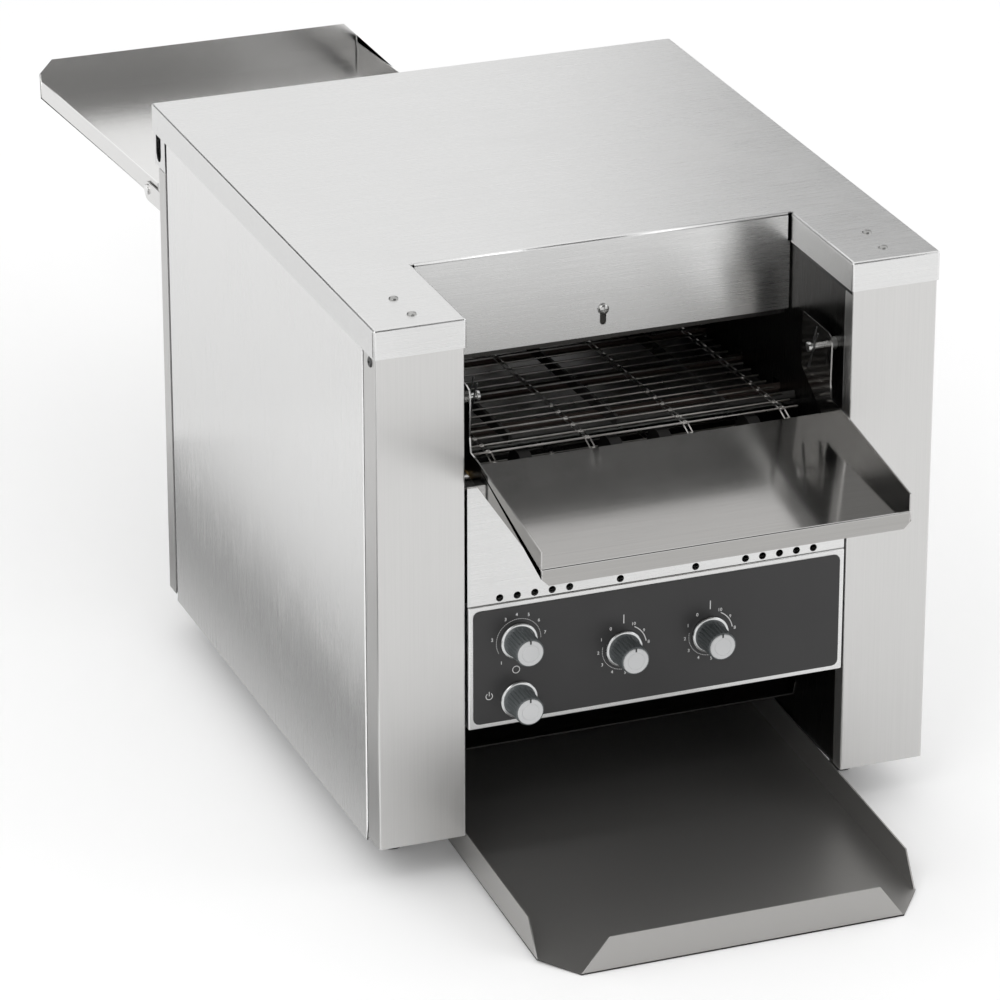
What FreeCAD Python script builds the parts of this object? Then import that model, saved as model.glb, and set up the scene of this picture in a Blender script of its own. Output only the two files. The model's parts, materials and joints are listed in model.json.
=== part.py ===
import FreeCAD, Part

import math
import os
import re

import Sketcher

"""Conveyor toaster: a folded steel body, a wire belt through a heated tunnel, and three trays.

Millimetres. X runs to the right as seen from the front, Y to the rear, Z up.
Every size below is given in the body's own datum: x = 0 on the centre line, y = 0 at the
front edge of the top cover, z = 0 at the lower edge of the front pillars. The finished
pieces are then shifted so that the origin lies on the table, under the middle of the whole.
"""

SIZES = {
    # the body
    "body_width": 470,
    "body_depth": 550,
    "body_height": 439,
    "foot_height": 38,
    "sheet": 1.2,
    "fit": 0.3,
    "overrun": 5,
    # front pillars and the notch between them
    "pillar_width": 75,
    "pillar_strip": 26,
    "pillar_return": 14,
    "notch_depth": 120,
    "lip_height": 24,
    "corner_relief": 4,
    "hood_drop": 81.5,
    # side panels and rear
    "panel_gap": 4,
    "panel_drop": 5,
    "panel_fold": 10,
    "rear_step": 12,
    "rear_strip": 18,
    "header_height": 52,
    "header_slot_radius": 6.5,
    "header_slot_length": 40,
    "header_slot_margin": 5,
    "exit_drop": 43,
    "exit_height": 78,
    # base pan and feet
    "pan_wall": 12,
    "pan_cutout": 400,
    "foot_radius": 9.5,
    "foot_neck": 6,
    "foot_pad": 6,
    "foot_inset_x": 38,
    "foot_inset_y": 77,
    # inner frames
    "frame_fold": 12,
    "window_margin": 9,
    # wire belt, in a plane of its own that falls to the rear
    "belt_slope": 2.6,
    "idler_y": 48,
    "tunnel_height": 52.5,
    "drive_margin": 31.77,
    "belt_radius": 20,
    "belt_gap": 22,
    "wire_radius": 1.2,
    "wire_pitch": 15.5,
    "link_width": 5,
    "link_thick": 1.6,
    "link_margin": 14,
    "shaft_radius": 5,
    "shaft_clearance": 0.05,
    "collar_radius": 7.5,
    "collar_width": 3,
    "bush_radius": 8,
    "bush_inside": 4,
    "bush_flange": 11,
    "bush_flange_thick": 3,
    "sprocket_rim": 15.5,
    "sprocket_width": 10,
    "tooth_width": 4,
    "tooth_gap": 0.3,
    "bed_bar_radius": 4,
    "bed_strip_thick": 3,
    "bed_strip_height": 9,
    "bed_strip_margin": 73.5,
    "bed_bar_front": 60,
    "bed_bar_margin": 59.5,
    # heaters
    "heater_radius": 4,
    "heater_rear_margin": 67.8,
    "upper_heater_first": 165,
    "upper_heater_drop": 12,
    "lower_heater_first": 96,
    "heater_proud": 14,
    "rail_leg": 12,
    "rail_margin": 14,
    "reflector_drop": 31,
    "reflector_front": 127,
    "reflector_fold": 14,
    "lower_reflector_drop": 9,
    # drive
    "chain_offset": 40.3,
    "chain_width": 6,
    "chain_thick": 4,
    "chain_gap": 0.3,
    "driven_radius": 26,
    "driving_radius": 15,
    "wheel_bore_wall": 5,
    "motor_margin": 111.8,
    "motor_z": 150,
    "gearbox_height": 62,
    "gearbox_length": 58,
    "gearbox_thick": 28,
    "motor_can_radius": 13.5,
    "motor_can_length": 82,
    "motor_shaft_radius": 4,
    # control panel
    "vent_rise": 106,
    "control_height": 105,
    "control_gap": 0.5,
    "bezel_depth": 11,
    "bezel_margin": 4,
    "overlay_thick": 0.8,
    "overlay_corner": 5,
    "housing_depth": 72,
    "vent_fold": 12,
    "vent_hole_radius": 2.8,
    "vent_hole_rise": 4.4,
    # knobs and what they turn
    "left_knob_margin": 41.5,
    "speed_knob_rise": 71.5,
    "power_knob_rise": 21.3,
    "top_heat_x": 29.6,
    "bottom_heat_x": 44,
    "heat_knob_rise": 50,
    "knob_length": 26,
    "skirt_radius": 15.5,
    "skirt_thick": 2.6,
    "grip_radius": 12.6,
    "grip_tip_radius": 12,
    "cap_radius": 10.6,
    "cap_thick": 1.4,
    "cap_ring": 2,
    "flute_depth": 0.8,
    "knob_hollow_radius": 6.5,
    "knob_hollow_depth": 3,
    "stem_radius": 3,
    "stem_depth": 14,
    "bushing_radius": 4.8,
    "bushing_proud": 1.8,
    "hole_clearance": 0.4,
    "control_radius": 14,
    "control_depth": 26,
    # feed shelf
    "shelf_gap": 8,
    "shelf_rear": 30,
    "shelf_front": 135,
    "shelf_drop": 2,
    "shelf_slope": 5.9,
    "shelf_lip": 14,
    "shelf_corner": 6,
    "shelf_side_front": 14,
    "shelf_side_rear": 17,
    "ear_front": 16,
    "ear_rear": 72,
    "ear_corner": 8,
    "ear_rise": 14,
    "ear_neck_drop": 26,
    "ear_rear_drop": 32,
    "pin_y": 33,
    "pin_rise": 57,
    "pin_radius": 2.5,
    "pin_clearance": 0.08,
    "pin_reach": 24,
    "pin_head_radius": 4,
    "pin_head_thick": 3,
    "pin_collar_radius": 5.5,
    # height gate
    "gate_gap": 3,
    "gate_drop": 4,
    "gate_height": 46,
    "gate_screw_drop": 59.4,
    "gate_travel": 11,
    "gate_stud_radius": 2.4,
    "gate_head_radius": 4.5,
    "gate_head_thick": 3,
    # lower tray
    "lower_reach": 180,
    "lower_slope": 3.2,
    "lower_length": 576,
    "lower_wall": 27,
    "lower_lip": 30,
    "lower_corner_x": 24.5,
    "lower_corner_y": 32,
    "lower_wall_rake": 20,
    "lower_lip_rake": 22,
    "ear_width": 12,
    "ear_length": 20,
    "runner_width": 14,
    "runner_length": 305,
    "runner_rear": 402,
    # return chute inside
    "return_front": 95,
    "return_level": 26,
    "return_slope": 20,
    "return_margin": 18.94,
    "return_wall": 14,
    # exit chute and rear tray
    "rear_slope": 3.6,
    "tray_standoff": 230,
    "tray_drop": 2.5,
    "tray_gap": 0.8,
    "tray_length": 368,
    "tray_wall": 18,
    "tray_back": 37,
    "tray_back_cut": 13,
    "tray_corner_gap": 3,
    "tray_tuck": 20,
    "arm_height": 18,
    "arm_drop": 5,
    "arm_reach": 26,
    "arm_root": 284,
    "exit_floor": 250,
    "tray_pin_radius": 2.5,
    "tray_pin_level": 5.2,
    "tray_pin_inside": 5,
    "rivet_radius": 5,
    "rivet_thick": 1.5,
    # cooling fan and cord gland
    "fan_size": 60,
    "fan_depth": 16,
    "fan_margin": 35.5,
    "fan_z": 46,
    "fan_opening": 27,
    "fan_tip_gap": 1.5,
    "fan_hub": 10,
    "fan_strut": 4,
    "blade_thick": 1.6,
    "blade_chord": 15,
    "blade_twist": 35,
    "guard_ring": 3,
    "guard_gap": 4.5,
    "louvre_length": 44,
    "louvre_height": 4,
    "louvre_pitch": 11,
    "louvre_z": 120,
    "gland_z": 50,
    "gland_radius": 8,
    "gland_nut_radius": 12,
    "gland_nut_thick": 5,
    "gland_length": 24,
    "gland_bore": 4.5,
}

# Values worked out from the sizes, in the same words.
DERIVED = {
    "half": "body_width / 2",
    "opening_half": "half - pillar_width",
    "skin": "sheet + fit",
    "flank": "half - skin",
    "inner_half": "opening_half + skin",
    "frame_outer": "inner_half + sheet",
    "under_cover": "body_height - sheet - fit",
    "rear_face": "body_depth - rear_step",
    "rear_inside": "rear_face - sheet",
    "header_foot": "under_cover - header_height",
    "header_front": "rear_face - rear_strip",
    "header_back": "body_depth - skin",
    "panel_front": "skin + pillar_strip + panel_gap",
    "panel_rear": "rear_face - rear_strip - panel_gap",
    "pan_half": "flank - sheet - fit",
    "pan_front": "skin + sheet + fit",
    "pan_rear": "rear_inside - fit",
    "frame_front": "skin + pillar_return + fit",
    "hood_foot": "body_height - hood_drop",
    "gate_screw_z": "body_height - gate_screw_drop",
    "reflector_level": "body_height - reflector_drop",
    "upper_heater_level": "reflector_level - upper_heater_drop",
    "heater_pitch": "(rear_inside - heater_rear_margin - upper_heater_first) / 4",
    "belt_front_level": "hood_foot - tunnel_height",
    "belt_half": "opening_half - belt_gap",
    "belt_span": "(rear_inside - drive_margin - idler_y) / cos(belt_slope)",
    "bed_strip_length": "belt_span - bed_strip_margin",
    "bed_strip_place": "belt_half * 2 / 3",
    "bed_bar_rear": "belt_span - bed_bar_margin",
    "idler_z": "belt_front_level - belt_radius - wire_radius",
    "drive_y": "idler_y + belt_span * cos(belt_slope)",
    "drive_z": "idler_z - belt_span * sin(belt_slope)",
    "tooth_tip": "belt_radius - wire_radius - tooth_gap",
    "chain_plane": "frame_outer + chain_offset",
    "motor_y": "rear_inside - motor_margin",
    "shelf_level": "belt_front_level - shelf_drop",
    "shelf_half": "opening_half - shelf_gap",
    "gate_half": "opening_half - gate_gap",
    "pin_z": "shelf_level + pin_rise",
    "ear_top": "pin_z + ear_rise",
    "ear_neck": "pin_z - ear_neck_drop",
    "ear_rear_foot": "pin_z - ear_rear_drop",
    "control_half": "opening_half - control_gap",
    "control_foot": "shelf_level - vent_rise - control_height",
    "left_knob_x": "control_half - left_knob_margin",
    "speed_knob_z": "control_foot + speed_knob_rise",
    "power_knob_z": "control_foot + power_knob_rise",
    "heat_knob_z": "control_foot + heat_knob_rise",
    "control_top": "control_foot + control_height",
    "vent_foot": "control_top + fit",
    "vent_top": "shelf_level - (shelf_rear - skin) * tan(shelf_slope) - skin",
    "overlay_half": "control_half - bezel_margin",
    "overlay_face": "-overlay_thick",
    "shelf_front_level": "shelf_level - (shelf_rear + shelf_front) * tan(shelf_slope)",
    "shelf_side_level": "shelf_front_level + shelf_side_front",
    "ear_foot": "shelf_level + shelf_side_rear",
    "lower_front_z": "fit - foot_height",
    "lower_ear_y": "lower_length - ear_length",
    "runner_level": "lower_front_z + lower_ear_y * sin(lower_slope) - fit",
    "lower_half": "opening_half",
    "return_length": "(rear_inside - return_margin - return_front) / cos(return_slope)",
    "arm_outer": "inner_half",
    "arm_inner": "inner_half - sheet",
    "tray_half": "arm_inner - tray_gap",
    "exit_foot": "belt_front_level - exit_drop",
    "tray_near_y": "body_depth + tray_standoff",
    "tray_near_z": "exit_foot - tray_drop",
    "exit_floor_level": "sheet + fit",
    "tongue_half": "tray_half - sheet - fit",
    "rear_reach": "tray_near_y + tray_length * cos(rear_slope) + tray_back * sin(rear_slope)",
    "centre_back": "(rear_reach - lower_reach) / 2",
    "fan_x": "flank - fan_margin",
    "fan_front": "rear_inside - fan_depth",
}

FUNCTIONS = ("sin", "cos", "tan")
VIEWS = {"top": "XY_Plane", "front": "XZ_Plane", "side": "YZ_Plane"}
SIDES = {"left": "-1", "right": "1"}
X_AXIS = FreeCAD.Vector(1, 0, 0)
Y_AXIS = FreeCAD.Vector(0, 1, 0)
Z_AXIS = FreeCAD.Vector(0, 0, 1)

doc = FreeCAD.newDocument("ConveyorToaster")
sheet = doc.addObject("Spreadsheet::Sheet", "Sizes")
parts = []


def fill_sheet():
    """Writes each size beside its name and gives the cell that name."""
    for row, (name, value) in enumerate(SIZES.items(), 1):
        sheet.set(f"A{row}", name)
        sheet.set(f"B{row}", str(value))
        sheet.setAlias(f"B{row}", name)
    doc.recompute()


def words(text):
    """The text as an expression: a derived value is written out, a size points at its cell."""
    def swap(match):
        word = match.group()
        if word in FUNCTIONS:
            return word
        if word in DERIVED:
            return "(" + words(DERIVED[word]) + ")"
        if word in SIZES:
            return "Sizes." + word
        raise ValueError(f"no size is called {word}")
    return re.sub(r"[a-z][a-z_]*", swap, text)


def bind(thing, prop, text):
    """Ties a property to the sheet."""
    thing.setExpression(prop, words(text))


def number(text):
    """The value that a text of sizes has now."""
    gauge.setExpression("Height", words(text) + " + 10000")
    gauge.recompute()
    return gauge.Height.Value - 10000


def place(thing, x="0", y="0", z="0", turn="0", about=X_AXIS):
    """Puts a finished piece at a point of the body's datum, turned about an axis."""
    thing.Placement = FreeCAD.Placement(FreeCAD.Vector(), FreeCAD.Rotation(about, 1))
    bind(thing, ".Placement.Rotation.Angle", turn)
    bind(thing, ".Placement.Base.x", x)
    bind(thing, ".Placement.Base.y", f"({y}) - centre_back")
    bind(thing, ".Placement.Base.z", f"({z}) + foot_height")


def keep(thing, name):
    """Counts a finished piece as a sub-part, under the name of its file."""
    thing.Label = name
    parts.append(thing)
    return thing


def new_body(name, **where):
    """A body for one sub-part, placed on the whole."""
    body = doc.addObject("PartDesign::Body", "Body")
    place(body, **where)
    return keep(body, name)


def plane_of(body, view):
    """The body's own origin plane for a view."""
    return next(item for item in body.Origin.OriginFeatures if item.Role == VIEWS[view])


def add_tied(sketch, shapes, joints, ties):
    """Adds geometry with its joints, then distances that are tied to the sheet."""
    first = sketch.GeometryCount
    sketch.addGeometry(shapes, False)
    start = len(sketch.Constraints) + len(joints)
    fixed = [Sketcher.Constraint("Coincident", first + one, 2, first + two, 1) for one, two in joints]
    loose = []
    for kind, item, end, value, _ in ties:
        if kind == "Radius":
            loose.append(Sketcher.Constraint(kind, first + item, value))
        else:
            loose.append(Sketcher.Constraint(kind, -1, 1, first + item, end, value))
    sketch.addConstraint(fixed + loose)
    for index, tie in enumerate(ties, start):
        bind(sketch, f"Constraints[{index}]", tie[-1])


def add_polygon(sketch, corners):
    """Draws a closed outline whose corners are tied to the sheet."""
    count = len(corners)
    turns = [2 * math.pi * i / count for i in range(count)]
    points = [FreeCAD.Vector(math.cos(turn), math.sin(turn), 0) for turn in turns]
    lines = [Part.LineSegment(points[i], points[(i + 1) % count]) for i in range(count)]
    ties = []
    for i, (u, v) in enumerate(corners):
        ties += [("DistanceX", i, 1, points[i].x, u), ("DistanceY", i, 1, points[i].y, v)]
    add_tied(sketch, lines, [(i, (i + 1) % count) for i in range(count)], ties)


def add_circle(sketch, u, v, radius):
    """Draws a circle whose centre and radius are tied to the sheet."""
    shape = Part.Circle(FreeCAD.Vector(1, 1, 0), Z_AXIS, 1)
    ties = [("DistanceX", 0, 3, 1, u), ("DistanceY", 0, 3, 1, v), ("Radius", 0, 0, 1, radius)]
    add_tied(sketch, [shape], [], ties)


def ring(u, v, radius, sides=12, hole=False):
    """A round outline in short straight runs: corners on the circle, or for a hole flats on it."""
    reach = f"({radius}) / cos({180 / sides:g})" if hole else f"({radius})"
    turns = [360 * (i + 0.5) / sides for i in range(sides)]
    return [(f"{u} + {reach} * cos({turn:g})", f"{v} + {reach} * sin({turn:g})") for turn in turns]


def star(u, v, inner, outer, points, width=0.4):
    """A toothed outline: points out to one radius, with flats at another between them."""
    corners = []
    for i in range(points):
        for radius, share in ((inner, -width), (outer, -width / 2), (outer, width / 2), (inner, width)):
            turn = 360 * (i + share) / points
            corners.append((f"{u} + ({radius}) * cos({turn:g})", f"{v} + ({radius}) * sin({turn:g})"))
    return corners


def slot(u, low, high, radius, steps=4):
    """An upright slot between two end centres, with its round ends in short straight runs."""
    turns = [180 * i / steps for i in range(steps + 1)]
    top = [(f"{u} + ({radius}) * cos({turn:g})", f"{high} + ({radius}) * sin({turn:g})") for turn in turns]
    foot = [(f"{u} - ({radius}) * cos({turn:g})", f"{low} - ({radius}) * sin({turn:g})") for turn in turns]
    return top + foot


def draw(body, view, level, outlines):
    """A sketch on one of the body's own planes, moved along X, Y or Z to a level."""
    sketch = body.newObject("Sketcher::SketchObject", "Sketch")
    sketch.AttachmentSupport = [(plane_of(body, view), "")]
    sketch.MapMode = "FlatFace"
    bind(sketch, "AttachmentOffset.Base.z", f"-({level})" if view == "front" else level)
    for corners in outlines:
        if isinstance(corners, tuple):
            add_circle(sketch, *corners)
        else:
            add_polygon(sketch, corners)
    return sketch


def pad(body, view, level, length, outlines):
    """Adds an outline's thickness, from a level towards +X, +Y or +Z."""
    feature = body.newObject("PartDesign::Pad", "Pad")
    feature.Profile = draw(body, view, level, outlines)
    feature.Reversed = view == "front"
    bind(feature, "Length", length)
    body.Tip = feature
    return feature


def pocket(body, view, level, length, outlines):
    """Cuts an outline away, from a level towards +X, +Y or +Z."""
    feature = body.newObject("PartDesign::Pocket", "Pocket")
    feature.Profile = draw(body, view, level, outlines)
    feature.Reversed = view != "front"
    bind(feature, "Length", length)
    body.Tip = feature
    return feature


def turned(name, view, steps, **where):
    """A stack of steps, each from a level to the next at a radius: round, or with a number of flats."""
    body = new_body(name, **where)
    for start, end, radius, *flat in steps:
        outline = ring("0", "0", radius, *flat) if flat else ("0", "0", radius)
        pad(body, view, start, f"({end}) - ({start})", [outline])
    return body


def box(x0, x1, y0, y1):
    """The corners of a rectangle between two values each way."""
    return [(x0, y0), (x1, y0), (x1, y1), (x0, y1)]


def rod(x, y, z, radius, length, along, sides=8):
    """A prism from a point along an axis, for use in a boolean or a group."""
    bar = doc.addObject("Part::Prism", "Rod")
    bar.Polygon = sides
    bar.Placement = FreeCAD.Placement(FreeCAD.Vector(), FreeCAD.Rotation(Z_AXIS, along))
    bind(bar, ".Placement.Base.x", x)
    bind(bar, ".Placement.Base.y", y)
    bind(bar, ".Placement.Base.z", z)
    bind(bar, "Circumradius", radius)
    bind(bar, "Height", length)
    return bar


def group(name, members, **where):
    """Like solids that share one sub-part."""
    whole = doc.addObject("Part::Compound", "Group")
    whole.Links = members
    place(whole, **where)
    return keep(whole, name)


def fuse(name, members, **where):
    """Primitives joined into one solid."""
    whole = doc.addObject("Part::MultiFuse", "Fusion")
    whole.Shapes = members
    place(whole, **where)
    return keep(whole, name)


def formed(name, shape, **where):
    """A sub-part whose shape is worked out here from the sheet's values."""
    thing = doc.addObject("Part::Feature", "Formed")
    thing.Shape = shape
    place(thing, **where)
    return keep(thing, name)


def copies(shape, steps):
    """A compound of one shape moved by each step."""
    moved = [shape.translated(step) for step in steps]
    return Part.makeCompound(moved)


# Body shell

def top_cover():
    """One folded sheet: top, outer lips, lips round the notch, and the hood wall behind it."""
    body = new_body("top_cover")
    lip_foot = "body_height - lip_height"
    outline = [("-half", "0"), ("-opening_half", "0"), ("-opening_half", "notch_depth"),
               ("opening_half", "notch_depth"), ("opening_half", "0"), ("half", "0"),
               ("half", "body_depth"), ("-half", "body_depth")]
    inset = [("-half + sheet", "sheet"), ("-opening_half - sheet", "sheet"),
             ("-opening_half - sheet", "notch_depth + sheet"),
             ("opening_half + sheet", "notch_depth + sheet"), ("opening_half + sheet", "sheet"),
             ("half - sheet", "sheet"), ("half - sheet", "body_depth - sheet"),
             ("-half + sheet", "body_depth - sheet")]
    pad(body, "top", lip_foot, "lip_height", [outline])
    pocket(body, "top", lip_foot, "lip_height - sheet", [inset])
    hood = box("-opening_half", "opening_half", "hood_foot", "body_height - sheet")
    pad(body, "front", "notch_depth", "sheet", [hood])
    way = slot("0", "gate_screw_z - gate_travel", "gate_screw_z", "gate_stud_radius + fit")
    pocket(body, "front", "notch_depth - overrun", "sheet + 2 * overrun", [way])
    reliefs = [box(f"{side} * opening_half - corner_relief / 2", f"{side} * opening_half + corner_relief / 2",
                   "notch_depth - corner_relief / 2", "notch_depth + corner_relief / 2")
               for side in SIDES.values()]
    pocket(body, "top", lip_foot, "lip_height + overrun", reliefs)


def front_pillar(name, side):
    """A channel folded in plan: outer strip, front face and a return into the notch."""
    plan = [("flank", "skin + pillar_strip"), ("flank", "skin"), ("inner_half", "skin"),
            ("inner_half", "skin + pillar_return"), ("frame_outer", "skin + pillar_return"),
            ("frame_outer", "skin + sheet"), ("flank - sheet", "skin + sheet"),
            ("flank - sheet", "skin + pillar_strip")]
    body = new_body(f"front_pillar_{name}")
    pad(body, "top", "0", "under_cover", [[(f"{side} * ({u})", v) for u, v in plan]])


def side_panel(name, side):
    """A flat panel with its upright edges folded in."""
    body = new_body(f"side_panel_{name}")
    start = "flank - sheet" if name == "right" else "-flank"
    pad(body, "side", start, "sheet", [box("panel_front", "panel_rear", "-panel_drop", "under_cover")])
    fold_foot = "pan_wall + sheet"
    inside = f"{side} * (flank - panel_fold)"
    outside = f"{side} * (flank - sheet / 2)"
    for edge in ("panel_front", "panel_rear - sheet"):
        pad(body, "front", edge, "sheet", [box(inside, outside, fold_foot, "under_cover")])


def rear_panel():
    """The rear wall with folded edges, the tunnel's exit, louvres, fan rings and the cord's hole."""
    plan = [("flank", "rear_face"), ("flank", "header_front"), ("flank - sheet", "header_front"),
            ("flank - sheet", "rear_inside"), ("-(flank - sheet)", "rear_inside"),
            ("-(flank - sheet)", "header_front"), ("-flank", "header_front"), ("-flank", "rear_face")]
    body = new_body("rear_panel")
    pad(body, "top", "0", "header_foot - fit", [plan])
    window = box("-inner_half", "inner_half", "exit_foot", "exit_foot + exit_height")
    louvres = [box("fan_x - louvre_length / 2", "fan_x + louvre_length / 2",
                   f"louvre_z + {step} * louvre_pitch", f"louvre_z + {step} * louvre_pitch + louvre_height")
               for step in range(6)]
    cord = ring("fan_x", "gland_z", "gland_radius + hole_clearance", hole=True)
    guard = [slot(f"-fan_x + {step} * (guard_ring + guard_gap)", "fan_z - fan_hub", "fan_z + fan_hub",
                  "guard_gap / 2", 2) for step in range(-2, 3)]
    pocket(body, "front", "rear_inside - overrun", "sheet + 2 * overrun", [window, cord] + louvres + guard)


def rear_header():
    """The channel across the top of the rear, with a slot in each end."""
    body = new_body("rear_header")
    pad(body, "side", "-flank", "2 * flank", [box("header_front", "header_back", "header_foot", "under_cover")])
    hollow = box("-flank + sheet", "flank - sheet", "header_foot + sheet", "under_cover - sheet")
    pocket(body, "front", "header_front - overrun", "header_back - header_front + overrun - sheet", [hollow])
    slot_y = "header_back - header_slot_margin - header_slot_radius"
    low = "header_foot + header_slot_margin + header_slot_radius"
    end = slot(slot_y, low, f"{low} + header_slot_length - 2 * header_slot_radius", "header_slot_radius")
    pocket(body, "side", "-flank - overrun", "2 * (flank + overrun)", [end])


def base_pan():
    """A shallow pan, cut out at the front for the lower tray."""
    body = new_body("base_pan")
    right = [("inner_half", "pan_cutout"), ("inner_half", "frame_front"), ("frame_outer + fit", "frame_front"),
             ("frame_outer + fit", "pan_front"), ("pan_half", "pan_front"), ("pan_half", "pan_rear")]
    outline = right + [(f"-({x})", y) for x, y in reversed(right)]
    pad(body, "top", "0", "pan_wall", [outline])
    hollow = box("-pan_half + sheet", "pan_half - sheet", "pan_front + sheet", "pan_rear - sheet")
    pocket(body, "top", "sheet", "pan_wall", [hollow])


def feet():
    """Four feet, a threaded neck over a broad pad."""
    steps = [("-foot_height", "-foot_height + foot_pad / 3", "foot_radius - foot_pad / 3", 12),
             ("-foot_height + foot_pad / 3", "-foot_height + 1.5 * foot_pad", "foot_radius", 12),
             ("-foot_height + 1.5 * foot_pad", "0", "foot_neck", 12)]
    places = {"front": "foot_inset_y", "rear": "rear_face - foot_inset_y"}
    for end, y in places.items():
        for name, side in SIDES.items():
            turned(f"{end}_{name}_foot", "top", steps, x=f"{side} * (half - foot_inset_x)", y=y)


def inner_frame(name, side):
    """The wall between tunnel and wiring bay: shaft holes, heater windows and a folded foot."""
    body = new_body(f"inner_frame_{name}")
    start = "inner_half" if name == "right" else "-frame_outer"
    rear = "pan_rear - sheet"
    wall = [("frame_front", "sheet"), (rear, "sheet"), (rear, "header_foot - fit"),
            ("header_front - fit", "header_foot - fit"), ("header_front - fit", "under_cover"),
            ("frame_front", "under_cover")]
    heaters = box("upper_heater_first - window_margin", "upper_heater_first + 4 * heater_pitch + window_margin",
                  "upper_heater_level - window_margin", "upper_heater_level + window_margin")
    holes = [ring("idler_y", "idler_z", "bush_radius + shaft_clearance", hole=True),
             ring("drive_y", "drive_z", "bush_radius + shaft_clearance", hole=True)]
    pad(body, "side", start, "sheet", [wall, heaters] + holes)
    along = "(lower_heater_first + {0} * heater_pitch)"
    ends = [along.format(step) for step in range(4)]
    for end in ends:
        y = f"idler_y + {end} * cos(belt_slope)"
        z = f"idler_z - {end} * sin(belt_slope)"
        window = box(f"{y} - window_margin / 1.2", f"{y} + window_margin / 1.2",
                     f"{z} - window_margin / 1.2", f"{z} + window_margin / 1.2")
        pocket(body, "side", f"{start} - overrun", "sheet + 2 * overrun", [window])
    foot = box(f"{side} * (inner_half + sheet / 2)", f"{side} * (inner_half + frame_fold)",
               "frame_front", rear)
    pad(body, "top", "sheet", "sheet", [foot])


VENT_SHARES = (0.2, 0.467, 0.5585, 0.65, 0.7415, 0.833)


def vent_panel():
    """The upper front plate, with its rows of round vents and a folded top."""
    body = new_body("vent_panel")
    profile = [("skin", "vent_foot"), ("skin", "vent_top"), ("skin + vent_fold", "vent_top"),
               ("skin + vent_fold", "vent_top - sheet"), ("skin + sheet", "vent_top - sheet"),
               ("skin + sheet", "vent_foot")]
    pad(body, "side", "-control_half", "2 * control_half", [profile])
    rise = "control_top + vent_hole_rise"
    holes = [ring(f"{side} * {share} * control_half", rise, "vent_hole_radius", 8, True)
             for side in SIDES.values() for share in VENT_SHARES]
    pocket(body, "front", "skin - overrun", "sheet + 2 * overrun", holes)


# Control panel

KNOBS = {
    "speed": ("-left_knob_x", "speed_knob_z"),
    "power": ("-left_knob_x", "power_knob_z"),
    "top_heat": ("-top_heat_x", "heat_knob_z"),
    "bottom_heat": ("bottom_heat_x", "heat_knob_z"),
}


def control_bezel():
    """A shallow pan turned forwards, with a hole for each control."""
    body = new_body("control_bezel")
    face = box("-control_half", "control_half", "control_foot", "control_top")
    inside = box("-control_half + sheet", "control_half - sheet", "control_foot + sheet", "control_top - sheet")
    pad(body, "front", "0", "bezel_depth", [face])
    pocket(body, "front", "sheet", "bezel_depth", [inside])
    holes = [ring(x, z, "bushing_radius + hole_clearance", hole=True) for x, z in KNOBS.values()]
    pocket(body, "front", "-overrun", "sheet + 2 * overrun", holes)


def control_overlay():
    """The thin dark face with round corners."""
    body = new_body("control_overlay")
    low = "control_foot + bezel_margin"
    high = "control_top - bezel_margin"
    outline = []
    for quarter, (sign, level) in enumerate((("1", high), ("-1", high), ("-1", low), ("1", low))):
        inward = "-" if level == high else "+"
        for step in range(4):
            turn = 90 * quarter + 30 * step
            outline.append((f"{sign} * (overlay_half - overlay_corner) + overlay_corner * cos({turn})",
                            f"{level} {inward} overlay_corner + overlay_corner * sin({turn})"))
    pad(body, "front", "overlay_face", "overlay_thick", [outline])
    holes = [ring(x, z, "bushing_radius + hole_clearance", hole=True) for x, z in KNOBS.values()]
    pocket(body, "front", "-overrun", "sheet + 2 * overrun", holes)


def control_housing():
    """The folded box that keeps heat and crumbs off the controls."""
    body = new_body("control_housing")
    low = "control_foot"
    front = "bezel_depth + fit"
    back = "bezel_depth + housing_depth"
    profile = [(front, low), (back, low), (back, "control_top"), (front, "control_top"),
               (front, "control_top - sheet"), (f"{back} - sheet", "control_top - sheet"),
               (f"{back} - sheet", f"{low} + sheet"), (front, f"{low} + sheet")]
    pad(body, "side", "-inner_half", "2 * inner_half", [profile])


def knob_set(name, x, z):
    """A ribbed knob with its skirt and moulded stem, and the cap inlaid in its face."""
    face = "overlay_face - fit"
    tip = "overlay_face - knob_length"
    skirt = f"{face} - skirt_thick"
    knob = turned(f"{name}_knob", "front", [
        (skirt, f"{face} - skirt_thick / 2", "skirt_radius - skirt_thick / 2", 16),
        (f"{face} - skirt_thick / 2", face, "skirt_radius", 16)], x=x, z=z)
    pad(knob, "front", tip, f"{skirt} - ({tip})", [star("0", "0", "grip_radius - flute_depth", "grip_radius", 10)])
    pocket(knob, "front", f"{tip} - overrun", "cap_thick + overrun",
           [ring("0", "0", "cap_radius + shaft_clearance", 12, True)])
    pocket(knob, "front", f"{face} - knob_hollow_depth", "knob_hollow_depth + overrun",
           [ring("0", "0", "knob_hollow_radius", 8)])
    root = f"{face} - knob_hollow_depth - sheet"
    pad(knob, "front", root, f"stem_depth - sheet - ({root})", [ring("0", "0", "stem_radius", 8)])
    pad(knob, "front", "stem_depth - sheet", "sheet", [("0", "0", "stem_radius")])
    turned(f"{name}_cap", "front", [
        (f"{tip} - cap_thick / 3", tip, "cap_radius - cap_ring", 12),
        (tip, f"{tip} + cap_thick", "cap_radius", 12)], x=x, z=z)


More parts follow.
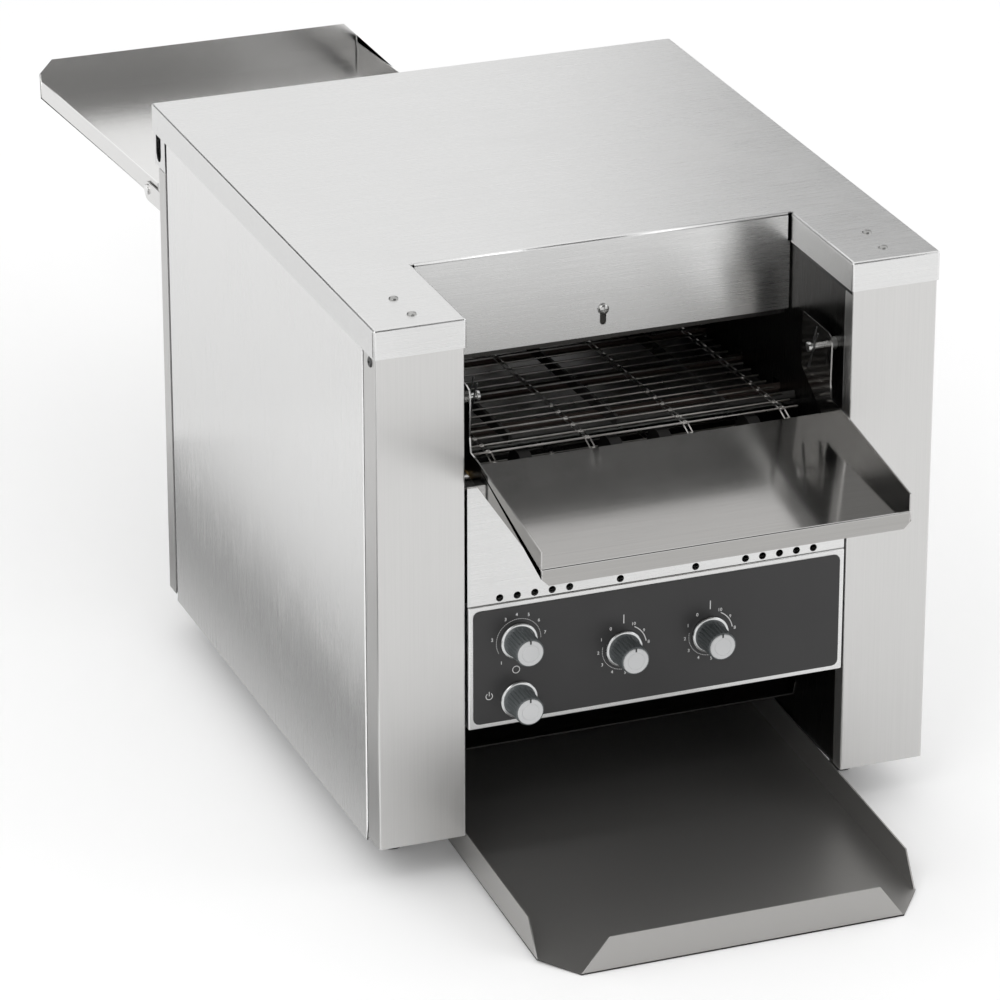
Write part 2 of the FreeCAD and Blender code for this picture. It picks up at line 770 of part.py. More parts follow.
def control_block(x, z):
    """A control's body behind the panel, its bushing through the panel, and the stem's blind bore."""
    back = rod(x, "sheet", z, "control_radius", "control_depth", Y_AXIS, 12)
    bushing = rod(x, "overlay_face - bushing_proud", z, "bushing_radius", "control_depth", Y_AXIS, 10)
    whole = doc.addObject("Part::MultiFuse", "Fusion")
    whole.Shapes = [back, bushing]
    bore = rod(x, "overlay_face - overrun", z, "(stem_radius + pin_clearance) / cos(18)",
               "stem_depth + overrun + 2 * fit - overlay_face", Y_AXIS, 10)
    block = doc.addObject("Part::Cut", "Cut")
    block.Base = whole
    block.Tool = bore
    return block


def controls():
    """The switch, the belt's speed control and the two heat controls."""
    group("power_switch", [control_block(*KNOBS["power"])])
    group("speed_control", [control_block(*KNOBS["speed"])])
    group("heat_controls", [control_block(*KNOBS["top_heat"]), control_block(*KNOBS["bottom_heat"])])


# Belt, shafts and heaters. The belt's plane starts at the idler shaft and falls to the rear.

BELT = {"y": "idler_y", "z": "idler_z", "turn": "-belt_slope"}
ROLLER_SHARES = (-0.7, -0.15, 0.15, 0.7)
LINK_COLUMNS = 4


def belt_point(along):
    """Where a point of the loop lies in the belt's plane, by its distance along the loop."""
    span = number("belt_span")
    radius = number("belt_radius")
    turn = math.pi * radius
    along = along % (2 * span + 2 * turn)
    if along < span:
        return FreeCAD.Vector(0, along, radius)
    if along < span + turn:
        angle = (along - span) / radius
        return FreeCAD.Vector(0, span + radius * math.sin(angle), radius * math.cos(angle))
    if along < 2 * span + turn:
        return FreeCAD.Vector(0, 2 * span + turn - along, -radius)
    angle = (along - 2 * span - turn) / radius
    return FreeCAD.Vector(0, -radius * math.sin(angle), -radius * math.cos(angle))


def wire_belt():
    """Cross wires on a loop, each hooked to the next by a row of short links."""
    span = number("belt_span")
    radius = number("belt_radius")
    loop = 2 * span + 2 * math.pi * radius
    count = round(loop / number("wire_pitch"))
    pitch = loop / count
    half = number("belt_half")
    wire = number("wire_radius")
    width = number("link_width")
    thick = number("link_thick")
    margin = number("link_margin")
    step = 2 * (half - margin) / (LINK_COLUMNS - 1)
    reach = 2 * radius * math.sin(pitch / radius / 2) - wire - number("fit")
    comb = [(half, wire), (half, -wire), (-half, -wire), (-half, wire)]
    for column in range(LINK_COLUMNS):
        middle = margin - half + column * step
        comb += [(middle - width / 2, wire), (middle - width / 2, reach),
                 (middle + width / 2, reach), (middle + width / 2, wire)]
    points = [FreeCAD.Vector(u, v, -thick / 2) for u, v in comb]
    unit = Part.Face(Part.makePolygon(points + points[:1])).extrude(FreeCAD.Vector(0, 0, thick))
    wires = []
    for index in range(count):
        here = belt_point(index * pitch)
        ahead = belt_point((index + 1) * pitch) - here
        copy = unit.copy()
        copy.Placement = FreeCAD.Placement(here, FreeCAD.Rotation(X_AXIS, math.degrees(math.atan2(ahead.z, ahead.y))))
        wires.append(copy)
    formed("wire_belt", Part.makeCompound(wires), **BELT)


def shaft(name, along, left, right):
    """A shaft in its bushes, with one journal quite round and a collar outside each bush."""
    journal = "inner_half - bush_inside - fit"
    collar = "frame_outer + bush_flange_thick + fit"
    outer = f"{collar} + collar_width"
    steps = [(f"-({left})", f"-({outer})", "shaft_radius", 12), (f"-({outer})", f"-({collar})", "collar_radius", 12),
             (f"-({collar})", f"-({journal})", "shaft_radius"), (f"-({journal})", journal, "shaft_radius", 12),
             (journal, collar, "shaft_radius", 12), (collar, outer, "collar_radius", 12),
             (outer, right, "shaft_radius", 12)]
    turned(name, "side", steps, y=f"idler_y + ({along}) * cos(belt_slope)",
           z=f"idler_z - ({along}) * sin(belt_slope)")


def flats(radius, sides, start, length, axis=X_AXIS, hole=False):
    """A prism about an axis, its corners on the circle, or for a hole its flats on it."""
    reach = radius / math.cos(math.pi / sides) if hole else radius
    turns = [2 * math.pi * (i + 0.5) / sides for i in range(sides + 1)]
    corners = [FreeCAD.Vector(reach * math.cos(turn), reach * math.sin(turn), 0) for turn in turns]
    prism = Part.Face(Part.makePolygon(corners)).extrude(FreeCAD.Vector(0, 0, length))
    prism.Placement = FreeCAD.Placement(start, FreeCAD.Rotation(Z_AXIS, axis))
    return prism


def toothed(root, tip, teeth, start, length):
    """A prism along X with a toothed outline."""
    corners = []
    for i in range(teeth):
        for radius, share in ((root, -0.3), (tip, -0.15), (tip, 0.15), (root, 0.3)):
            turn = 2 * math.pi * (i + share) / teeth
            corners.append(start + FreeCAD.Vector(0, radius * math.cos(turn), radius * math.sin(turn)))
    return Part.Face(Part.makePolygon(corners + corners[:1])).extrude(FreeCAD.Vector(length, 0, 0))


def rollers():
    """Plain rollers on the idler shaft, toothed wheels on the drive shaft."""
    tip = number("tooth_tip")
    width = number("sprocket_width")
    places = [FreeCAD.Vector(share * number("belt_half"), 0, 0) for share in ROLLER_SHARES]
    start = FreeCAD.Vector(-width / 2, 0, 0)
    hole = flats(number("shaft_radius + shaft_clearance"), 12, start, width, hole=True)
    roller = flats(tip, 12, start, width).cut(hole)
    wheel = toothed(number("sprocket_rim"), tip, 8, start, width).cut(hole)
    formed("idler_rollers", copies(roller, places), y="idler_y", z="idler_z")
    formed("drive_sprockets", copies(wheel, places), y="drive_y", z="drive_z")


def shaft_bushes():
    """A flanged bush in each frame, at both ends of both shafts."""
    inside = number("inner_half - bush_inside")
    bore = number("shaft_radius + shaft_clearance")
    flange = number("bush_flange_thick")
    outer = number("frame_outer")
    bushes = []
    for y, z in (("idler_y", "idler_z"), ("drive_y", "drive_z")):
        for side in (-1, 1):
            centre = FreeCAD.Vector(side * inside, number(y), number(z))
            face = FreeCAD.Vector(side * outer, number(y), number(z))
            axis = X_AXIS * side
            sleeve = flats(number("bush_radius"), 12, centre, outer - inside + flange / 2, axis)
            rim = flats(number("bush_flange"), 12, face, flange, axis)
            hole = flats(bore, 12, centre, outer - inside + flange, axis, hole=True)
            bushes.append(sleeve.fuse(rim).cut(hole))
    formed("shaft_bushes", Part.makeCompound(bushes))


def belt_bed():
    """Two cross bars between the frames, and the strips on them that carry the belt's upper run."""
    top = "belt_radius - wire_radius - fit"
    bars = [rod("-inner_half", place_y, f"{top} - bed_strip_height - bed_bar_radius + fit", "bed_bar_radius",
                "2 * inner_half", X_AXIS) for place_y in ("bed_bar_front", "bed_bar_rear")]
    strips = []
    for share in (-1, 0, 1):
        strip = doc.addObject("Part::Box", "Strip")
        bind(strip, "Length", "bed_strip_thick")
        bind(strip, "Width", "bed_strip_length")
        bind(strip, "Height", "bed_strip_height")
        bind(strip, ".Placement.Base.x", f"{share} * bed_strip_place - bed_strip_thick / 2")
        bind(strip, ".Placement.Base.y", "bed_bar_front - (bed_strip_length - bed_bar_rear + bed_bar_front) / 2")
        bind(strip, ".Placement.Base.z", f"{top} - bed_strip_height")
        strips.append(strip)
    fuse("belt_bed", bars + strips, **BELT)


def heaters():
    """Sheathed heater tubes above and below the belt, the rails that hold them, and the reflectors."""
    reach = "frame_outer + heater_proud"
    upper = [rod(f"-({reach})", f"upper_heater_first + {step} * heater_pitch", "upper_heater_level",
                 "heater_radius", f"2 * ({reach})", X_AXIS) for step in range(5)]
    group("upper_heaters", upper)
    lower = [rod(f"-({reach})", f"lower_heater_first + {step} * heater_pitch", "0",
                 "heater_radius", f"2 * ({reach})", X_AXIS) for step in range(4)]
    group("lower_heaters", lower, **BELT)
    heater_rails("upper", "upper_heater_first - rail_margin", "4 * heater_pitch + 2 * rail_margin",
                 "upper_heater_level - heater_radius")
    heater_rails("lower", "lower_heater_first - rail_margin", "3 * heater_pitch + 2 * rail_margin",
                 "-heater_radius", **BELT)


def heater_rails(name, start, length, level, **where):
    """Angle rails along both frames, with the tubes lying on them."""
    rails = []
    for side in (-1, 1):
        inner = number("inner_half - rail_leg")
        outer = number("inner_half")
        top = number(level)
        leg = number("rail_leg")
        thick = number("sheet")
        corners = [(outer, top - leg), (outer, top), (inner, top), (inner, top - thick),
                   (outer - thick, top - thick), (outer - thick, top - leg)]
        points = [FreeCAD.Vector(side * u, number(start), v) for u, v in corners]
        outline = Part.makePolygon(points + points[:1])
        rails.append(Part.Face(outline).extrude(FreeCAD.Vector(0, number(length), 0)))
    formed(f"{name}_heater_rails", Part.makeCompound(rails), **where)


def reflectors():
    """A folded sheet over the upper tubes, a flat one under the lower tubes."""
    body = new_body("upper_reflector")
    front = "reflector_front"
    back = "rear_inside - fit"
    profile = [(front, "reflector_level - reflector_fold"), (front, "reflector_level + sheet"),
               (back, "reflector_level + sheet"), (back, "reflector_level - reflector_fold"),
               (f"{back} - sheet", "reflector_level - reflector_fold"), (f"{back} - sheet", "reflector_level"),
               (f"{front} + sheet", "reflector_level"), (f"{front} + sheet", "reflector_level - reflector_fold")]
    pad(body, "side", "-inner_half", "2 * inner_half", [profile])
    lower = new_body("lower_reflector", **BELT)
    start = "lower_heater_first - rail_margin"
    end = "lower_heater_first + 3 * heater_pitch + rail_margin"
    shelf = [(start, "-lower_reflector_drop"), (start, "-lower_reflector_drop - sheet"),
             (end, "-lower_reflector_drop - sheet"), (end, "-lower_reflector_drop")]
    pad(lower, "side", "-(inner_half - sheet)", "2 * (inner_half - sheet)", [shelf])


# Drive

def chain_band(offset, steps=8):
    """The loop round both chain wheels at an offset from their pitch circles, as a closed wire."""
    rear = FreeCAD.Vector(0, number("drive_y"), number("drive_z"))
    front = FreeCAD.Vector(0, number("motor_y"), number("motor_z"))
    line = front - rear
    base = math.atan2(line.z, line.y)
    lean = math.acos(number("driven_radius - driving_radius") / line.Length)
    corners = []
    for centre, radius, start, end in ((rear, "driven_radius", base + lean, base + 2 * math.pi - lean),
                                       (front, "driving_radius", base - lean, base + lean)):
        reach = (number(radius) + offset) / math.cos((end - start) / steps / 2)
        for step in range(steps):
            turn = start + (end - start) * (step + 0.5) / steps
            corners.append(centre + FreeCAD.Vector(0, reach * math.cos(turn), reach * math.sin(turn)))
    return Part.makePolygon(corners + corners[:1])


def drive_chain():
    """The chain as a plain closed band of the chain's section."""
    outer = chain_band(number("chain_thick"))
    inner = chain_band(0)
    ring = Part.Face(outer).cut(Part.Face(inner))
    band = ring.extrude(FreeCAD.Vector(number("chain_width"), 0, 0))
    formed("drive_chain", band, x="chain_plane - chain_width / 2")


def chain_wheel(name, radius, teeth, bore, y, z):
    """A toothed wheel inside the chain, with a bore."""
    body = new_body(name, x="chain_plane", y=y, z=z)
    width = "chain_width - fit"
    root = f"{radius} - chain_thick"
    pad(body, "side", f"-({width}) / 2", width, [star("0", "0", root, f"{radius} - chain_gap", teeth, 0.3)])
    pocket(body, "side", "-chain_width", "2 * chain_width", [ring("0", "0", bore, hole=True)])


def gearmotor():
    """The gearbox on the right frame, the motor can under it."""
    body = new_body("gearmotor", y="motor_y", z="motor_z")
    block = box("-gearbox_length / 2", "gearbox_length / 2", "-gearbox_height / 2", "gearbox_height / 2")
    pad(body, "side", "frame_outer", "gearbox_thick", [block])
    can_x = "frame_outer + gearbox_thick / 2"
    pad(body, "top", "-gearbox_height / 2 - motor_can_length", "motor_can_length + overrun",
        [ring(can_x, "0", "motor_can_radius", 16)])
    pocket(body, "side", "frame_outer + overrun", "gearbox_thick",
           [ring("0", "0", "motor_shaft_radius + shaft_clearance", hole=True)])
    round_end = "frame_outer + overrun + fit + 2 * sheet"
    output = [("frame_outer + overrun + fit", round_end, "motor_shaft_radius"),
              (round_end, "chain_plane + chain_width", "motor_shaft_radius", 10)]
    turned("motor_shaft", "side", output, y="motor_y", z="motor_z")


# Feed shelf and height gate

def feed_shelf():
    """A sloping shelf with a folded lip and two sides that rise into ears on the pins."""
    body = new_body("feed_shelf")
    front = "-shelf_front"
    floor = [("shelf_rear", "shelf_level"), (front, "shelf_front_level"),
             (front, "shelf_front_level - shelf_lip"), (f"{front} + sheet", "shelf_front_level - shelf_lip"),
             (f"{front} + sheet", "shelf_front_level - sheet"), ("shelf_rear", "shelf_level - sheet")]
    pad(body, "side", "-shelf_half", "2 * shelf_half", [floor])
    side = [(f"{front} + sheet", "shelf_front_level - sheet"), (f"{front} + sheet", "shelf_side_level"),
            ("0", "ear_foot"), ("ear_front - sheet", "ear_foot + sheet"), ("ear_front + sheet", "ear_neck"),
            ("ear_front", "ear_top - ear_corner"),
            ("ear_front + ear_corner / 4", "ear_top - ear_corner / 4"), ("ear_front + ear_corner", "ear_top"),
            ("ear_rear", "ear_top"), ("ear_rear", "ear_rear_foot"),
            ("shelf_rear + sheet", "shelf_level - sheet")]
    hole = ring("pin_y", "pin_z", "pin_radius + pin_clearance", 10, hole=True)
    for start in ("-shelf_half", "shelf_half - sheet"):
        pad(body, "side", start, "sheet", [side])
    pocket(body, "side", "-shelf_half - overrun", "2 * (shelf_half + overrun)", [hole])
    corner = "shelf_half - shelf_corner"
    foot = "shelf_front_level - shelf_lip"
    cuts = [[(f"{side_sign} * ({corner})", foot), (f"{side_sign} * (shelf_half + overrun)", foot),
             (f"{side_sign} * (shelf_half + overrun)", f"{foot} + shelf_corner + overrun")]
            for side_sign in SIDES.values()]
    pocket(body, "front", "-shelf_front - overrun", "sheet + 2 * overrun", cuts)


def shelf_pins():
    """A headed pin with a spacing collar in each frame."""
    pins = []
    for side in (-1, 1):
        axis = X_AXIS * side
        start = number("inner_half - pin_reach")
        y = number("pin_y")
        z = number("pin_z")
        shank = flats(number("pin_radius"), 10, FreeCAD.Vector(side * start, y, z), number("pin_reach"), axis)
        seat = FreeCAD.Vector(side * start, y, z)
        if side < 0:
            head = Part.makeCylinder(number("pin_head_radius"), number("pin_head_thick"), seat, axis)
        else:
            head = flats(number("pin_head_radius"), 12, seat, number("pin_head_thick"), axis)
        collar_start = number("shelf_half + fit")
        collar = flats(number("pin_collar_radius"), 10, FreeCAD.Vector(side * collar_start, y, z),
                       number("inner_half") - collar_start, axis)
        pins.append(shank.fuse([head, collar]))
    formed("shelf_pins", Part.makeCompound(pins))


def height_gate():
    """The strip behind the hood wall that sets the tunnel's height, and its clamping screw."""
    body = new_body("height_gate")
    back = "notch_depth + sheet + fit"
    low = "hood_foot - gate_drop"
    pad(body, "front", back, "sheet", [box("-gate_half", "gate_half", low, f"{low} + gate_height")])
    hole = ring("0", "gate_screw_z", "gate_stud_radius + shaft_clearance", 10, hole=True)
    pocket(body, "front", "notch_depth", "4 * sheet", [hole])
    head = "notch_depth - fit - gate_head_thick"
    steps = [(head, f"{head} + gate_head_thick / 3", "gate_head_radius - gate_head_thick / 3", 12),
             (f"{head} + gate_head_thick / 3", "notch_depth - fit", "gate_head_radius", 12),
             ("notch_depth - fit", f"{back} + sheet", "gate_stud_radius", 10),
             (f"{back} + sheet", f"{back} + sheet + gate_head_thick / 2", "gate_head_radius", 12)]
    turned("gate_screw", "front", steps, z="gate_screw_z")


# Trays and chutes

def lower_tray():
    """The long tray under the body: cut corners, raked wall ends, a lip, and ears on the runners."""
    body = new_body("lower_tray", y="-lower_reach", z="lower_front_z", turn="lower_slope")
    right = [("lower_half - lower_corner_x", "0"), ("lower_half", "lower_corner_y"), ("lower_half", "lower_ear_y"),
             ("lower_half + ear_width", "lower_ear_y"), ("lower_half + ear_width", "lower_length")]
    left = [(f"-({x})", y) for x, y in reversed(right)]
    pad(body, "top", "0", "sheet", [right + left])
    wall = [("lower_corner_y", "0"), ("lower_length", "0"), ("lower_length", "lower_wall"),
            ("lower_corner_y + lower_wall_rake", "lower_wall")]
    for start in ("-lower_half", "lower_half - sheet"):
        pad(body, "side", start, "sheet", [wall])
    foot = "lower_half - lower_corner_x"
    lip = [(f"-({foot})", "0"), (foot, "0"), (f"{foot} - lower_lip_rake", "lower_lip"),
           (f"-({foot} - lower_lip_rake)", "lower_lip")]
    pad(body, "front", "0", "sheet", [lip])


def tray_runners():
    """Two level angles under the base pan, with the tray's ears riding in them."""
    runners = []
    for side in SIDES.values():
        foot = block("0", "runner_width", "runner_level - sheet", "sheet", side)
        wall = block("runner_width - sheet", "sheet", "runner_level - sheet", "sheet - runner_level", side)
        angle = doc.addObject("Part::MultiFuse", "Angle")
        angle.Shapes = [foot, wall]
        runners.append(angle)
    group("tray_runners", runners)


def block(offset, width, z, height, side):
    """One leg of a runner, its offset counted outwards from the pan's cut-out."""
    leg = doc.addObject("Part::Box", "Leg")
    bind(leg, "Length", width)
    bind(leg, "Width", "runner_length")
    bind(leg, "Height", height)
    start = f"inner_half + {offset}" if side == "1" else f"-(inner_half + {offset} + {width})"
    bind(leg, ".Placement.Base.x", start)
    bind(leg, ".Placement.Base.y", "runner_rear - runner_length")
    bind(leg, ".Placement.Base.z", z)
    return leg


def return_chute():
    """The slide from the belt's rear end down to the lower tray."""
    body = new_body("return_chute", y="return_front", z="return_level", turn="return_slope")
    pad(body, "top", "0", "sheet", [box("-inner_half", "inner_half", "0", "return_length")])
    for start in ("-inner_half", "inner_half - sheet"):
        pad(body, "side", start, "sheet", [box("0", "return_length", "0", "return_wall")])


REAR = {"y": "tray_near_y", "z": "tray_near_z", "turn": "-rear_slope"}


def exit_chute():
    """Two arms from the frames, a floor between them, and the pins that the rear tray hooks on."""
    body = new_body("exit_chute", **REAR)
    top = "arm_height - arm_drop"
    middle = "arm_height / 2 - arm_drop"
    arm = [("-arm_root", "-arm_drop")]
    arm += [(f"arm_reach + arm_height / 2 * cos({turn})", f"{middle} + arm_height / 2 * sin({turn})")
            for turn in range(-90, 91, 30)]
    arm += [("-arm_root", top)]
    floor = box("-arm_outer", "arm_outer", "-exit_floor", "-2 * fit")
    pad(body, "top", "exit_floor_level", "sheet", [floor])
    pad(body, "top", "exit_floor_level", "sheet", [box("-tongue_half", "tongue_half", "-exit_floor / 2", "tray_tuck")])
    for start in ("-arm_outer", "arm_inner"):
        pad(body, "side", start, "sheet", [arm])
    for name, side in SIDES.items():
        inside = "tray_half - tray_pin_inside"
        start = inside if name == "right" else "-arm_outer"
        pad(body, "side", start, "arm_outer - tray_half + tray_pin_inside",
            [ring("arm_reach", "tray_pin_level", "tray_pin_radius", 10)])
        head = "arm_outer" if name == "right" else "-arm_outer - rivet_thick"
        pad(body, "side", head, "rivet_thick", [ring("arm_reach", "tray_pin_level", "rivet_radius", 10)])


def rear_tray():
    """The tray behind: low sides, a high back with cut corners, and slots over the pins."""
    body = new_body("rear_tray", **REAR)
    pad(body, "top", "0", "sheet", [box("-tray_half", "tray_half", "0", "tray_length")])
    wall_end = "tray_length - sheet - tray_corner_gap"
    for start in ("-tray_half", "tray_half - sheet"):
        pad(body, "side", start, "sheet", [box("0", wall_end, "0", "tray_wall")])
    back = [("-tray_half", "0"), ("tray_half", "0"), ("tray_half", "tray_back - tray_back_cut"),
            ("tray_half - tray_back_cut", "tray_back"), ("-tray_half + tray_back_cut", "tray_back"),
            ("-tray_half", "tray_back - tray_back_cut")]
    pad(body, "front", "tray_length - sheet", "sheet", [back])
    gap = "tray_pin_radius + fit"
    low = f"tray_pin_level - ({gap})"
    high = f"tray_pin_level + {gap}"
    pocket(body, "side", "-tray_half - overrun", "2 * (tray_half + overrun)",
           [box("-overrun", "arm_reach", low, high)])
    pocket(body, "side", "-tray_half - overrun", "2 * (tray_half + overrun)",
           [ring("arm_reach", "tray_pin_level", gap, 10, hole=True)])


# Fan and cord gland

def cooling_fan():
    """A square fan on the inside of the rear panel, drawing air through the left bay."""
    frame = new_body("fan_frame", x="-fan_x", y="fan_front", z="fan_z")
    square = box("-fan_size / 2", "fan_size / 2", "-fan_size / 2", "fan_size / 2")
    pad(frame, "front", "0", "fan_depth", [square, ring("0", "0", "fan_opening", 20, hole=True)])
    strut = box("-fan_opening - fan_strut / 2", "fan_opening + fan_strut / 2", "-fan_strut / 2", "fan_strut / 2")
    pad(frame, "front", "0", "blade_thick", [strut])
    pad(frame, "front", "0", "blade_thick", [ring("0", "0", "fan_hub")])
    tip = number("fan_opening - fan_tip_gap")
    hub = number("fan_hub")
    depth = number("fan_depth - blade_thick - 2 * fit")
    start = number("fan_front + blade_thick + fit")
    chord = number("blade_chord")
    thick = number("blade_thick")
    rotor = flats(hub, 12, FreeCAD.Vector(0, start, 0), depth - thick, Y_AXIS)
    nose = Part.makeCylinder(hub / 3, thick, FreeCAD.Vector(0, start + depth - thick, 0), Y_AXIS)
    middle = start + depth / 2
    blades = []
    for index in range(7):
        reach = math.sqrt(tip * tip - chord * chord / 4) - hub + thick
        blade = Part.makeBox(chord, thick, reach, FreeCAD.Vector(-chord / 2, middle - thick / 2, hub - thick))
        blade.rotate(FreeCAD.Vector(0, middle, 0), Z_AXIS, number("blade_twist"))
        blade.rotate(FreeCAD.Vector(), Y_AXIS, 360 * index / 7)
        blades.append(blade)
    formed("fan_rotor", rotor.fuse(blades + [nose]), x="-fan_x", z="fan_z")


def cord_gland():
    """The gland that the supply cord would leave by."""
    end = "gland_length - gland_nut_thick"
    body = turned("cord_gland", "front", [
        ("-gland_nut_thick", "0", "gland_nut_radius", 6), ("0", "sheet", "gland_radius", 12),
        ("sheet", "sheet + gland_nut_thick", "gland_nut_radius", 6),
        ("sheet + gland_nut_thick", end, "gland_radius", 12)], x="fan_x", y="rear_inside", z="gland_z")
    pocket(body, "front", "-gland_nut_thick - overrun", f"{end} + gland_nut_thick + 2 * overrun",
           [ring("0", "0", "gland_bore", 10)])


def check_parts():
    """Stops if any object has failed or any sub-part is not a whole solid."""
    for thing in doc.Objects:
        if "Invalid" in thing.State or "Error" in thing.State:
            raise RuntimeError(f"{thing.Name} ({thing.Label}) failed: {thing.State}")
    for part in parts:
        shape = part.Shape
        if shape.isNull() or not shape.isValid() or not shape.Solids or shape.Volume <= 0:
            raise RuntimeError(f"{part.Label} is not a valid solid")


def write_parts():
    """Writes each sub-part to a file of its own."""
    os.makedirs("parts", exist_ok=True)
    for part in parts:
        part.Shape.exportStep(f"parts/{part.Label}.step")


def report_places():
    """Prints the places that the joints turn about, on the finished whole."""
    for name, y, z in (("idler", "idler_y", "idler_z"), ("drive", "drive_y", "drive_z"),
                       ("motor", "motor_y", "motor_z"), ("shelf pin", "pin_y", "pin_z"),
                       ("fan", "fan_front", "fan_z"), ("datum", "0", "0")):
        print(name, round(number(f"{y} - centre_back"), 3), round(number(f"{z} + foot_height"), 3))
    solids = sum(len(part.Shape.Solids) for part in parts)
    print(len(parts), "sub-parts", solids, "solids")


def main():
    """Builds every sub-part, checks them all and writes the files."""
    base_pan()
    feet()
    for name, side in SIDES.items():
        front_pillar(name, side)
        side_panel(name, side)
        inner_frame(name, side)
    top_cover()
    rear_panel()
    rear_header()
    vent_panel()
    control_bezel()
    control_overlay()
    control_housing()
    for name, (x, z) in KNOBS.items():
        knob_set(name, x, z)
    controls()
    wire_belt()
    belt_bed()
    shaft("idler_shaft", "0", "frame_outer + frame_fold", "frame_outer + frame_fold")
    shaft("drive_shaft", "belt_span", "frame_outer + frame_fold", "chain_plane + chain_width")
    rollers()
    shaft_bushes()
    heaters()
    reflectors()
    drive_chain()
    chain_wheel("driven_wheel", "driven_radius", 14, "shaft_radius + shaft_clearance", "drive_y", "drive_z")
    chain_wheel("driving_wheel", "driving_radius", 8, "motor_shaft_radius + shaft_clearance", "motor_y", "motor_z")
    gearmotor()
    feed_shelf()
    shelf_pins()
    height_gate()
    lower_tray()
    tray_runners()
    return_chute()
    exit_chute()
    rear_tray()
    cooling_fan()
    cord_gland()
    doc.recompute()
    check_parts()
    write_parts()
    report_places()


fill_sheet()
gauge = doc.addObject("Part::Cylinder", "Gauge")
main()
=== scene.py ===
"""The looks of a countertop conveyor toaster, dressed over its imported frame."""

import json
import logging
import math
from dataclasses import dataclass, field
from enum import Enum
from typing import Callable, Iterable, Sequence

import bmesh
import bpy
from mathutils import Matrix, Vector


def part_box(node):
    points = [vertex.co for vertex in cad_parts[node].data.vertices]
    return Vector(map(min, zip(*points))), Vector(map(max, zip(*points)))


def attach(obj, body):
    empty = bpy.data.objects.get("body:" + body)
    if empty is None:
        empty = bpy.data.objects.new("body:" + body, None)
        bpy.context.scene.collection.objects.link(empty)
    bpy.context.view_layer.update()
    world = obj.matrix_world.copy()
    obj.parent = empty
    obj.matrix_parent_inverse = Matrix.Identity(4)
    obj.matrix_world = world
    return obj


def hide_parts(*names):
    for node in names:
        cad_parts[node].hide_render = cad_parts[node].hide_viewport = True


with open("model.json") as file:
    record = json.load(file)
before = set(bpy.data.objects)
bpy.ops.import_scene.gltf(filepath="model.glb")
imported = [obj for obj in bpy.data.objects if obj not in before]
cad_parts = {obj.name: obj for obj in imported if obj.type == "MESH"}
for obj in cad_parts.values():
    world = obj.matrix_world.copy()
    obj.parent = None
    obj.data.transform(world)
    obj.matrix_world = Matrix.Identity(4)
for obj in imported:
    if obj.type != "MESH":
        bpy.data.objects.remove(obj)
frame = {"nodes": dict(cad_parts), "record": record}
log = logging.getLogger("toaster")

MM = 0.001
ORIGIN = Vector((0.0, -0.484799, 0.038))
RIGHT = Vector((1.0, 0.0, 0.0))
BACK = Vector((0.0, 1.0, 0.0))
UP = Vector((0.0, 0.0, 1.0))
SIDES = (-1, 1)

# The body's half width, its depth and the level of its top, in millimetres
HALF = 235.0
DEPTH = 538.0
TOP = 439.0

# The fan's centre, across and up, and the shelf's pins, back and up
FAN = (-198.0, 46.0)
PINS = (33.0, 360.0)

# Where the knobs stand: across the panel and up
KNOBS = {"speed": (-118.0, 163.5), "power": (-118.0, 113.3), "top_heat": (-29.6, 142.0),
         "bottom_heat": (44.0, 142.0)}


def at(x: float, y: float, z: float) -> Vector:
    """Turns millimetres from the body's front foot into a point of the frame.

    Args:
        x: Distance to the right of the middle.
        y: Distance behind the front face.
        z: Height above the body's underside.

    Returns:
        The point in metres.
    """
    return Vector((x, y, z)) * MM + ORIGIN


# The bench: short calls round the modelling operators


def clear() -> None:
    """Goes to object mode with nothing selected."""
    if bpy.context.object and bpy.context.object.mode != "OBJECT":
        bpy.ops.object.mode_set(mode="OBJECT")
    bpy.ops.object.select_all(action="DESELECT")


def lone(piece: bpy.types.Object) -> None:
    """Leaves one piece selected and active."""
    clear()
    piece.select_set(True)
    bpy.context.view_layer.objects.active = piece


def edit(piece: bpy.types.Object) -> None:
    """Opens one piece in edit mode."""
    lone(piece)
    bpy.ops.object.mode_set(mode="EDIT")


def apply_place(piece: bpy.types.Object) -> None:
    """Moves the piece's place, turn and scale into its mesh."""
    lone(piece)
    bpy.ops.object.transform_apply(location=True, rotation=True, scale=True)


def pick(piece: bpy.types.Object, kind: str, test: Callable[[object], bool]) -> int:
    """Selects what passes a test on a piece that is open in edit mode.

    Args:
        piece: The piece in edit mode.
        kind: VERT, EDGE or FACE.
        test: Says whether an item is selected.

    Returns:
        How many items were selected.
    """
    bpy.ops.mesh.select_mode(type=kind)
    bpy.ops.mesh.select_all(action="DESELECT")
    work = bmesh.from_edit_mesh(piece.data)
    items = {"VERT": work.verts, "EDGE": work.edges, "FACE": work.faces}[kind]
    chosen = [item for item in items if test(item)]
    for item in chosen:
        item.select_set(True)
    bmesh.update_edit_mesh(piece.data)
    return len(chosen)


def width_of(face: bmesh.types.BMFace) -> float:
    """The width of a face as if it were a strip."""
    return 2 * face.calc_area() / max(face.calc_perimeter(), 1e-9)


